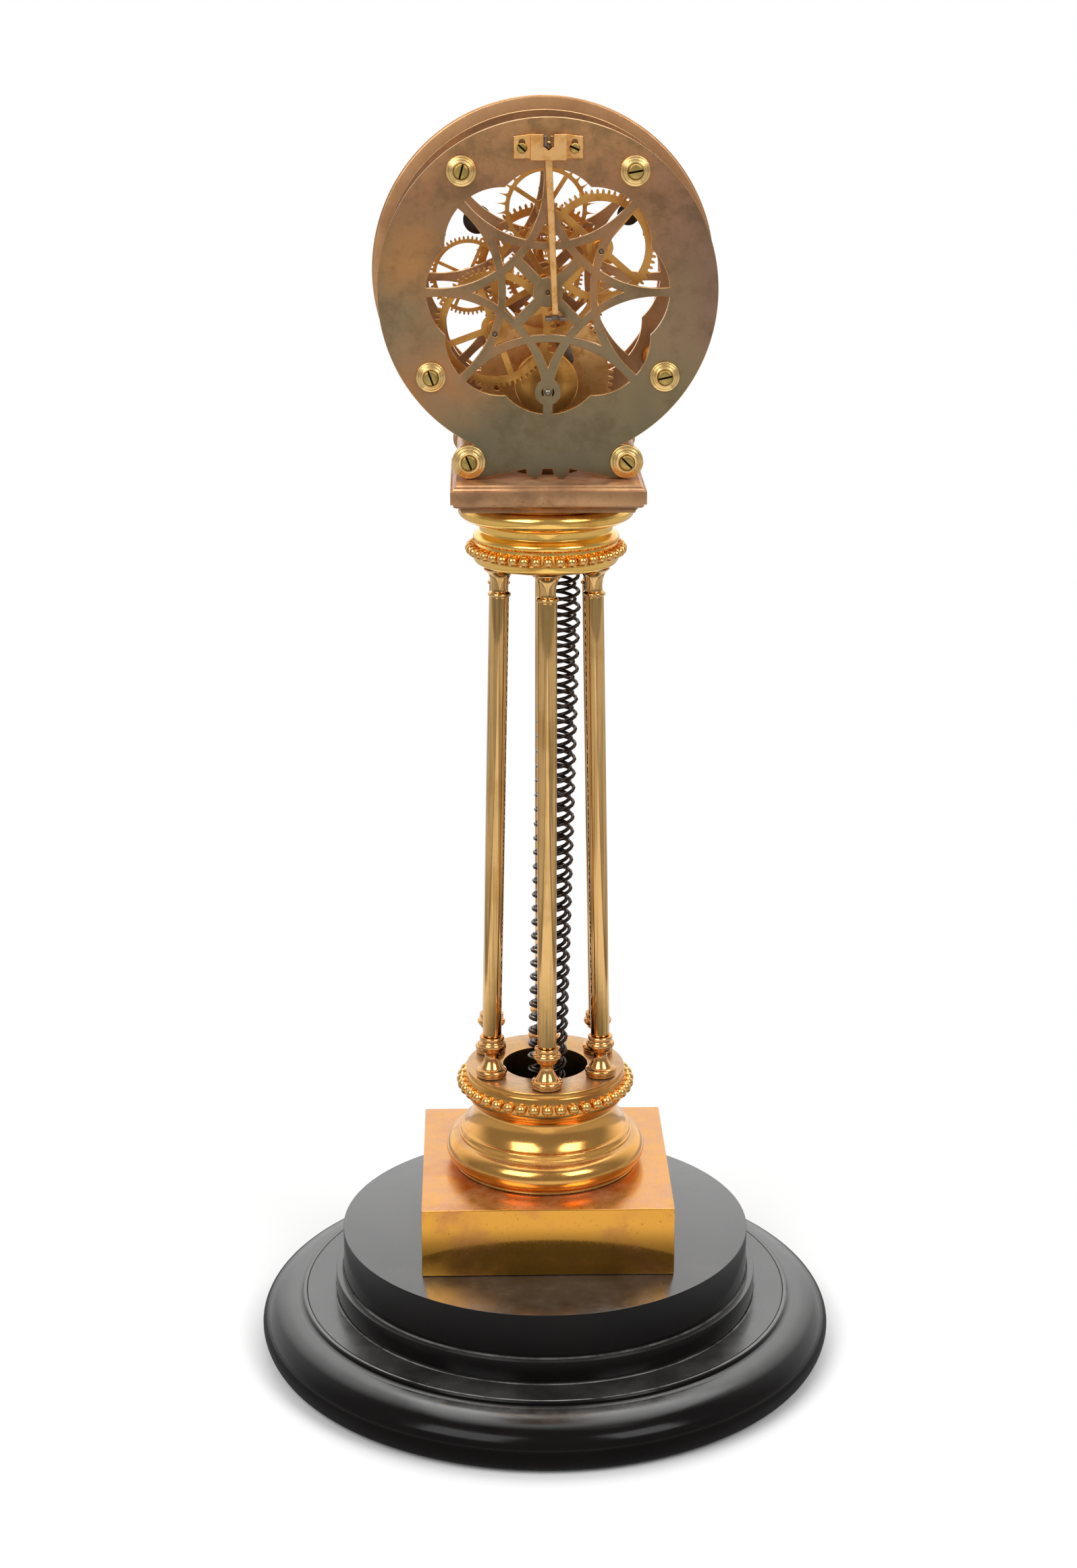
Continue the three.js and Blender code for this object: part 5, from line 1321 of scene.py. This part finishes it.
class CLOCK_OT_cock(bpy.types.Operator):
    """Files the back cock with its notch, and screws it on"""
    bl_idname = "clock.cock"
    bl_label = "Back cock"

    def execute(self, context):
        sizes = context.scene.clock_sizes
        low = PALLETS_AT[1] - 5.6
        top = low + 11
        face = BACK_FACE - 0.3
        outer = face - 6.4
        notch = [(2.2, top), (2.2, top - 5.4), (1.4, top - 5.6), (0, top - 6.8), (-1.4, top - 5.6),
                 (-2.2, top - 5.4), (-2.2, top)]
        bridge = flat_piece(
            "filed_cock", [[(-7.8, low), (7.8, low), (7.8, top), *notch, (-7.8, top)]],
            outer, outer + 2, chamfer=0.2 * MM)
        for side in (-1, 1):
            leg = flat_piece(
                "leg", [oblong(side * 5.8, side * 7.75, low + 0.05, top - 0.05)],
                outer + 1.95, face, chamfer=0.05 * MM)
            at = (side * 11.4, low + 5)
            oval = [*bow((at[0], at[1] + 2.4), 1.3, 0, 180, 12), *bow(at, 1.3, 180, 360, 12)]
            flange = flat_piece(
                "flange", [[(side * 7.7, low + 0.5), (side * 15, low + 0.5), (side * 15, low + 9.9),
                            (side * 7.7, low + 10.9)], oval], face - 1.8, face, chamfer=0.2 * MM)
            join(bridge, leg, flange)
        dress(bridge, "cock", "frame", "wheel_brass", "back_cock")
        for side, turn in ((-1, -42), (1, -24)):
            at = (side * 11.4, 0, CENTRE_Z + low + 5)
            head = face - 1.8
            rows = [(0, head + 1.6), (1.2, head + 1.6), (1.2, head - 0.05), (2.25, head - 0.05),
                    (2.3, head - 0.8), (1.9, head - 1.3), (0, head - 1.5)]
            screw = close(turned("cock_screw", rows, 40, along="Y"), 0.12 * MM, 2)
            cut_slot(screw, head - 1.5, turn, sizes.screw_slot, 6)
            dress(place(screw, shift=at), "screw", "frame", "wheel_brass")
        for name, finish, left, right, slot in (
                ("suspension_steel", "steel", -2.1, -0.5, "steel"),
                ("suspension_brass", "shaft", 0.75, 2.1, "wheel_brass")):
            cheek = flat_piece(
                name, [oblong(left, right, top - 5.2, top - 0.6)], outer + 0.15, outer + 1.9,
                chamfer=0.3 * MM)
            dress(cheek, finish, "frame", slot)
        return {"FINISHED"}


# Motion work, hands and chapter ring

class CLOCK_OT_motion(bpy.types.Operator):
    """Cuts the cannon, minute and hour wheels with their pipes"""
    bl_idname = "clock.motion"
    bl_label = "Motion work"

    def execute(self, context):
        chamfer = context.scene.clock_sizes.wheel_chamfer
        pitch = 35.1 / 2
        teeth = 54
        near = FRONT_FACE + 1.6
        cannon = cut_wheel(
            "cannon_wheel_cut", (0, 0), teeth, pitch, 180, near, near + 1.8, 4, pitch - 3.2, 5, 2.2, 20, 1.95,
            chamfer)
        pipe = sleeve("cannon_pipe", [
            (1.95, near + 1.78), (2.5, near + 1.78), (2.5, near + 23.4), (1.95, near + 23.4)], 32, (0, 0))
        dress(join(cannon, pipe), "wheel", "centre", "wheel_brass", "cannon_wheel")

        minute = cut_wheel(
            "minute_wheel_cut", MINUTE_AT, teeth, pitch, 180 / teeth, near, near + 1.8, 4, pitch - 2.6, 3.6,
            1.5, 66, 0.9, chamfer)
        hour_pitch = 35.1 * 72 / 78
        end = FRONT_FACE + 7 + 1.8 + 0.3
        rows = [(0, FRONT_INNER), (0.85, FRONT_INNER), (0.85, near - 0.3), (3, near - 0.28), (3, near + 0.02),
                (0.9, near + 0.04), (0.9, end + 0.2), (0, end + 0.3)]
        leaves = pinion_on_arbor(
            "minute_pinion", MINUTE_AT, 6, hour_pitch / 12, 0, near + 1.75, end, rows, 1.4)
        dress(join(minute, leaves), "wheel", "minute_work", "wheel_brass", "minute_wheel")

        near = FRONT_FACE + 7
        hour = cut_wheel(
            "hour_wheel_cut", (0, 0), 72, hour_pitch, 180, near, near + 1.8, 4, hour_pitch - 4.8, 6, 2.9,
            10, 2.8, chamfer)
        pipe = sleeve("hour_pipe", [
            (2.8, near + 1.78), (3.8, near + 1.78), (3.8, near + 15.5), (2.8, near + 15.5)], 36, (0, 0))
        dress(join(hour, pipe), "wheel", "hour", "wheel_brass", "hour_wheel")
        return {"FINISHED"}


class CLOCK_OT_dial(bpy.types.Operator):
    """Turns the chapter ring, fills its hours in black, and cuts the two hands"""
    bl_idname = "clock.dial"
    bl_label = "Chapter ring and hands"

    def execute(self, context):
        near = FRONT_FACE + 20
        far = near + 2.5
        rows = [
            (54.4, near), (79.4, near), (80.3, near + 0.7), (80.3, far - 0.5), (79.9, far), (54.5, far),
            (54, far - 0.5), (54, near + 0.4)]
        ring = rod("turned_chapter_ring", rows, 192, (0, 0), 0.15 * MM, True)
        rows = [
            (0, FRONT_FACE + 0.3), (3.2, FRONT_FACE + 0.3), (3.2, FRONT_FACE + 1.3), (2.2, FRONT_FACE + 2),
            (2.2, near - 1.5), (3, near - 0.8), (3, near + 0.1), (0, near + 0.1)]
        for k in range(4):
            join(ring, rod("post", rows, 32, polar(64, 90 * k), 0.12 * MM))
        dress(ring, "ring", "frame", "bronze", "chapter_ring")
        marks = self.hours(far)
        dress(marks, "black_steel", "frame", "bronze")

        for name, body, angle, eye, radius, tip, bore, low in (
                ("hour_hand", "hour", 142.4, 38.8, 6.7, 50, 2.8, FRONT_FACE + 22.8),
                ("minute_hand", "centre", 32.8, 47.6, 5.2, 68, 1.9, FRONT_FACE + 25.3)):
            blade = flat_piece(
                f"blued_{name}", [spun(self.outline(eye, radius, tip), angle), around((0, 0), bore, 32)],
                low, low + 1.4, chamfer=0.2 * MM)
            dress(blade, "black_steel", body, "black_steel", name)
        return {"FINISHED"}

    def outline(self, eye, radius, tip):
        """A hand along the level: hub, slim stem, round eye and pointed tip."""
        half = 1.3
        lean = degrees(asin(half / radius))
        hub = degrees(asin(half / 5.2))
        return [
            *bow((eye, 0), radius, -180 + lean, -lean * 0.7, 20), (tip, 0),
            *bow((eye, 0), radius, lean * 0.7, 180 - lean, 20), *bow((0, 0), 5.2, hub, 360 - hub, 32)]

    def hours(self, face):
        """Roman hours and minute dots, filled level with the ring's face."""
        marks = begin("filled_hours")
        for minute in range(60):
            u, v = polar(57 if minute % 5 else 56.8, 6 * minute)
            size = 0.35 if minute % 5 else 0.7
            draw(upright(around((u, v), size, 12), face - 0.02))
        bpy.ops.mesh.select_all(action="SELECT")
        bpy.ops.mesh.fill(use_beauty=True)
        bpy.ops.mesh.select_all(action="SELECT")
        bpy.ops.mesh.extrude_region_move(TRANSFORM_OT_translate={"value": (0, 0.06 * MM, 0)})
        knit()
        close(marks)
        for hour, text in enumerate("XII I II III IIII V VI VII VIII IX X XI".split()):
            bpy.ops.object.select_all(action="DESELECT")
            bpy.ops.object.text_add()
            letters = bpy.context.object
            letters.data.body = text
            letters.data.size = 14 * MM
            letters.data.align_x = "CENTER"
            letters.data.align_y = "CENTER"
            letters.data.extrude = 0.04 * MM
            bpy.ops.object.convert(target="MESH")
            place(letters, (90, 0, 180))
            turn = 90 + 30 * hour
            u, v = polar(68.5, turn)
            place(letters, (0, 90 - turn, 0))
            place(letters, shift=(u, face, CENTRE_Z + v))
            join(marks, letters)
        return marks


class CLOCK_OT_ends(bpy.types.Operator):
    """Turns the spring's anchor and hook, and the centre arbor with its pinion"""
    bl_idname = "clock.ends"
    bl_label = "Anchor, hook and centre arbor"

    def execute(self, context):
        rows = [(0, 0), (8.7, 0), (9, 0.3), (9, 2.7), (8.6, 3), (3.4, 3.4), (2.6, 4.2), (2.6, 11.5)]
        rows += [(2.2, 12), (0, 12)]
        anchor = close(turned("turned_anchor", lifted(rows, SOCLE_LOW), 48), 0.1 * MM, 2)
        dress(anchor, "steel", "frame", "steel", "spring_anchor")
        rows = [(0, 0), (1.7, 0), (2.1, 0.6), (2.4, 2), (2.4, 6), (2, 7.2), (1.15, 8.6), (1, 9), (0, 9)]
        rows = lifted(rows, SPRING_HIGH + 0.3)
        hook = close(turned("turned_hook", rows, 32, (*HOOK_AT, 0)), 0.1 * MM, 2)
        dress(hook, "steel", "hook", "steel", "spring_hook")

        gap = apart(INTERMEDIATE_AT, (0, 0))
        pinion = gap * 8 / 72
        near = BACK_INNER + 19 - 1.3
        end = FRONT_FACE + 1.6 + 23.4 + 0.3 + 1.4 + 0.3
        rows = [
            (0, BACK_FACE + 0.15), (0.6, BACK_FACE + 0.15), (0.9, BACK_FACE + 0.45), (0.9, BACK_INNER + 1),
            (1.6, BACK_INNER + 1.8), (1.6, end), (2.7, end), (2.72, end + 1), (2.2, end + 1.4),
            (1.5, end + 1.5), (1.4, end + 2.6), (0, end + 2.8)]
        arbor = pinion_on_arbor(
            "centre_pinion", (0, 0), 8, pinion, bearing((0, 0), INTERMEDIATE_AT), near, near + 4.4, rows)
        dress(arbor, "steel", "centre", "steel", "centre_arbor")
        return {"FINISHED"}


class CLOCK_OT_pallets(bpy.types.Operator):
    """Files the anchor pallets on their arbor"""
    bl_idname = "clock.pallets"
    bl_label = "Pallets"

    def execute(self, context):
        drop = PALLETS_AT[1] - ESCAPE_AT[1]
        inner = [(u, v - drop) for u, v in (polar(22.35, 90 - 39.8), polar(22.35, 90 - 44.2))]
        near_nib, far_nib = inner
        right = [near_nib, far_nib]
        right += smooth_through([
            (17.2, near_nib[1] * 0.75), (15, near_nib[1] * 0.42), (9.5, -0.6), (3.4, 2.4)], 5)
        under = smooth_through([
            (1.6, -3.2), (6.5, -4.2), (near_nib[0] * 0.82, near_nib[1] * 0.52),
            (near_nib[0] * 0.93, near_nib[1] * 0.8)], 5)
        half = [*under, *right]
        other = [(-u, v) for u, v in reversed(half)]
        near = BACK_INNER + 34 - 0.5
        anchor = flat_piece(
            "filed_pallets", [[*half, (1.8, 3.4), (-1.8, 3.4), *other]], near, near + 2.4, PALLETS_AT,
            0.15 * MM)
        crutch = BACK_FACE - 1.2
        rows = [
            (0, crutch - 2.3), (0.7, crutch - 2.3), (0.9, crutch - 2.1), (0.9, crutch + 0.3),
            (1.44, crutch + 0.3), (1.6, BACK_INNER), (1.6, near - 1.2), (3.2, near - 1.2),
            (3.2, near + 3.6), (1.6, near + 3.6), (1.6, FRONT_INNER - 1), (0.9, FRONT_INNER - 0.8),
            (0.9, FRONT_FACE - 0.2), (0, FRONT_FACE)]
        join(anchor, rod("pallet_arbor", rows, 32, PALLETS_AT, 0.08 * MM))
        dress(anchor, "steel", "pallet", "steel", "pallets")
        return {"FINISHED"}


# Stage

class CLOCK_OT_stage(bpy.types.Operator):
    """Lays the pale floor and sets the soft lamps and the camera"""
    bl_idname = "clock.stage"
    bl_label = "Floor, lamps and camera"

    def execute(self, context):
        material, tree, out = blank_material("pale_paper_sweep")
        spot = add(tree, "ShaderNodeTexCoord").outputs["Object"]
        away = add(tree, "ShaderNodeVectorMath", {0: spot}, operation="LENGTH").outputs["Value"]
        path = add(tree, "ShaderNodeLightPath").outputs
        # Glossy rays see the paper grey, and darker still in bands at its sides: painted shade that the metal
        # shows in its reflections
        tone = mixed(tree, path["Is Glossy Ray"], linear("#f7f7f7"), linear("#6a6a6a"))
        paper = add(tree, "ShaderNodeBsdfDiffuse", {"Color": tone}).outputs[0]
        across = calc(tree, "ABSOLUTE", add(tree, "ShaderNodeSeparateXYZ", {"Vector": spot}).outputs["X"], 0)
        painted_shade_bands = calc(tree, "SUBTRACT", remap(tree, across, 0.33, 0.36, 0, 0.65),
                      remap(tree, across, 0.41, 0.49, 0, 0.25))
        level = calc(tree, "SUBTRACT", 1.0, calc(tree, "MULTIPLY", path["Is Glossy Ray"], painted_shade_bands))
        glow = add(tree, "ShaderNodeEmission", {"Color": (1, 1, 1, 1), "Strength": level}).outputs[0]
        shown = calc(tree, "MAXIMUM", path["Is Camera Ray"], path["Is Glossy Ray"])
        shown = calc(tree, "MAXIMUM", shown, path["Is Transmission Ray"])
        white = calc(tree, "MULTIPLY", shown, remap(tree, away, 0.16, 0.34, soft=True))
        floor_skin = add(tree, "ShaderNodeMixShader", {0: white, 1: paper, 2: glow})
        tree.links.new(floor_skin.outputs[0], out.inputs["Surface"])
        bpy.ops.object.select_all(action="DESELECT")
        bpy.ops.mesh.primitive_circle_add(vertices=96, radius=6, fill_type="NGON", location=(0, 0, -0.0002))
        floor = context.object
        floor.name = "paper_floor"
        floor.data.materials.append(material)

        world = bpy.data.worlds.new("studio")
        context.scene.world = world
        world.use_nodes = True
        tree = world.node_tree
        tree.nodes.clear()
        out = tree.nodes.new("ShaderNodeOutputWorld")
        path = add(tree, "ShaderNodeLightPath").outputs
        seen = calc(tree, "MAXIMUM", path["Is Camera Ray"], path["Is Transmission Ray"])
        away = add(tree, "ShaderNodeTexCoord").outputs["Generated"]
        depth = add(tree, "ShaderNodeSeparateXYZ", {"Vector": away}).outputs["Y"]
        mirrored = remap(tree, depth, 0, 0.75, 0.33, 1.3, soft=True)
        level = add(tree, "ShaderNodeMix", {0: path["Is Glossy Ray"], 2: 0.55, 3: mirrored}).outputs[0]
        level = add(tree, "ShaderNodeMix", {0: seen, 2: level, 3: 1.0}).outputs[0]
        back = add(tree, "ShaderNodeBackground", {"Color": (1, 1, 1, 1), "Strength": level})
        tree.links.new(back.outputs[0], out.inputs["Surface"])

        for name, where, size, power in (
                ("soft_key", (-0.98, -1.33, 1.6), 1.15, 21), ("soft_fill", (1.1, -1.22, 1.55), 0.9, 15),
                ("soft_top", (0.1, 0.4, 1.8), 1.5, 11)):
            bpy.ops.object.light_add(type="AREA", location=where)
            lamp = context.object
            lamp.name = name
            lamp.data.size = size
            lamp.data.energy = power
            aim = Vector((0, 0, 0.3)) - Vector(where)
            lamp.rotation_euler = aim.to_track_quat("-Z", "Y").to_euler()

        bpy.ops.object.camera_add(
            location=(-32.2 * MM, -1229.4 * MM, 659.6 * MM),
            rotation=(radians(90 - 16.83), radians(-0.04), radians(-1.33)))
        camera = context.object
        camera.name = "photo_camera"
        camera.data.sensor_fit = "VERTICAL"
        camera.data.sensor_height = 36
        camera.data.lens = 36 * 4022.97 / 2324
        camera.data.clip_end = 50
        context.scene.camera = camera
        context.scene.view_settings.view_transform = "Standard"
        return {"FINISHED"}


class CLOCK_PT_panel(bpy.types.Panel):
    """Lists the clock's steps, sizes and colours"""
    bl_idname = "CLOCK_PT_panel"
    bl_label = "Skeleton clock"
    bl_space_type = "VIEW_3D"
    bl_region_type = "UI"
    bl_category = "Clock"

    def draw(self, context):
        for step in STEPS:
            self.layout.operator(step.bl_idname)
        for group in (context.scene.clock_sizes, context.scene.clock_colours):
            box = self.layout.box()
            for name in group.bl_rna.properties.keys():
                if name not in ("rna_type", "name"):
                    box.prop(group, name)


STEPS = (
    CLOCK_OT_stage, CLOCK_OT_base, CLOCK_OT_plinth, CLOCK_OT_socle, CLOCK_OT_columns, CLOCK_OT_capital,
    CLOCK_OT_table, CLOCK_OT_plates, CLOCK_OT_pillars, CLOCK_OT_train, CLOCK_OT_escapement,
    CLOCK_OT_winding, CLOCK_OT_crutch, CLOCK_OT_cock, CLOCK_OT_pallets, CLOCK_OT_motion, CLOCK_OT_dial,
    CLOCK_OT_ends, CLOCK_OT_spring)


def register():
    for kind in (ClockSizes, ClockColours, *STEPS, CLOCK_PT_panel):
        bpy.utils.register_class(kind)
    bpy.types.Scene.clock_sizes = bpy.props.PointerProperty(type=ClockSizes)
    bpy.types.Scene.clock_colours = bpy.props.PointerProperty(type=ClockColours)


def unregister():
    del bpy.types.Scene.clock_colours
    del bpy.types.Scene.clock_sizes
    for kind in (CLOCK_PT_panel, *reversed(STEPS), ClockColours, ClockSizes):
        bpy.utils.unregister_class(kind)


def main():
    register()
    make_finishes()
    for step in STEPS:
        group, name = step.bl_idname.split(".")
        getattr(getattr(bpy.ops, group), name)()


if __name__ == "__main__":
    main()
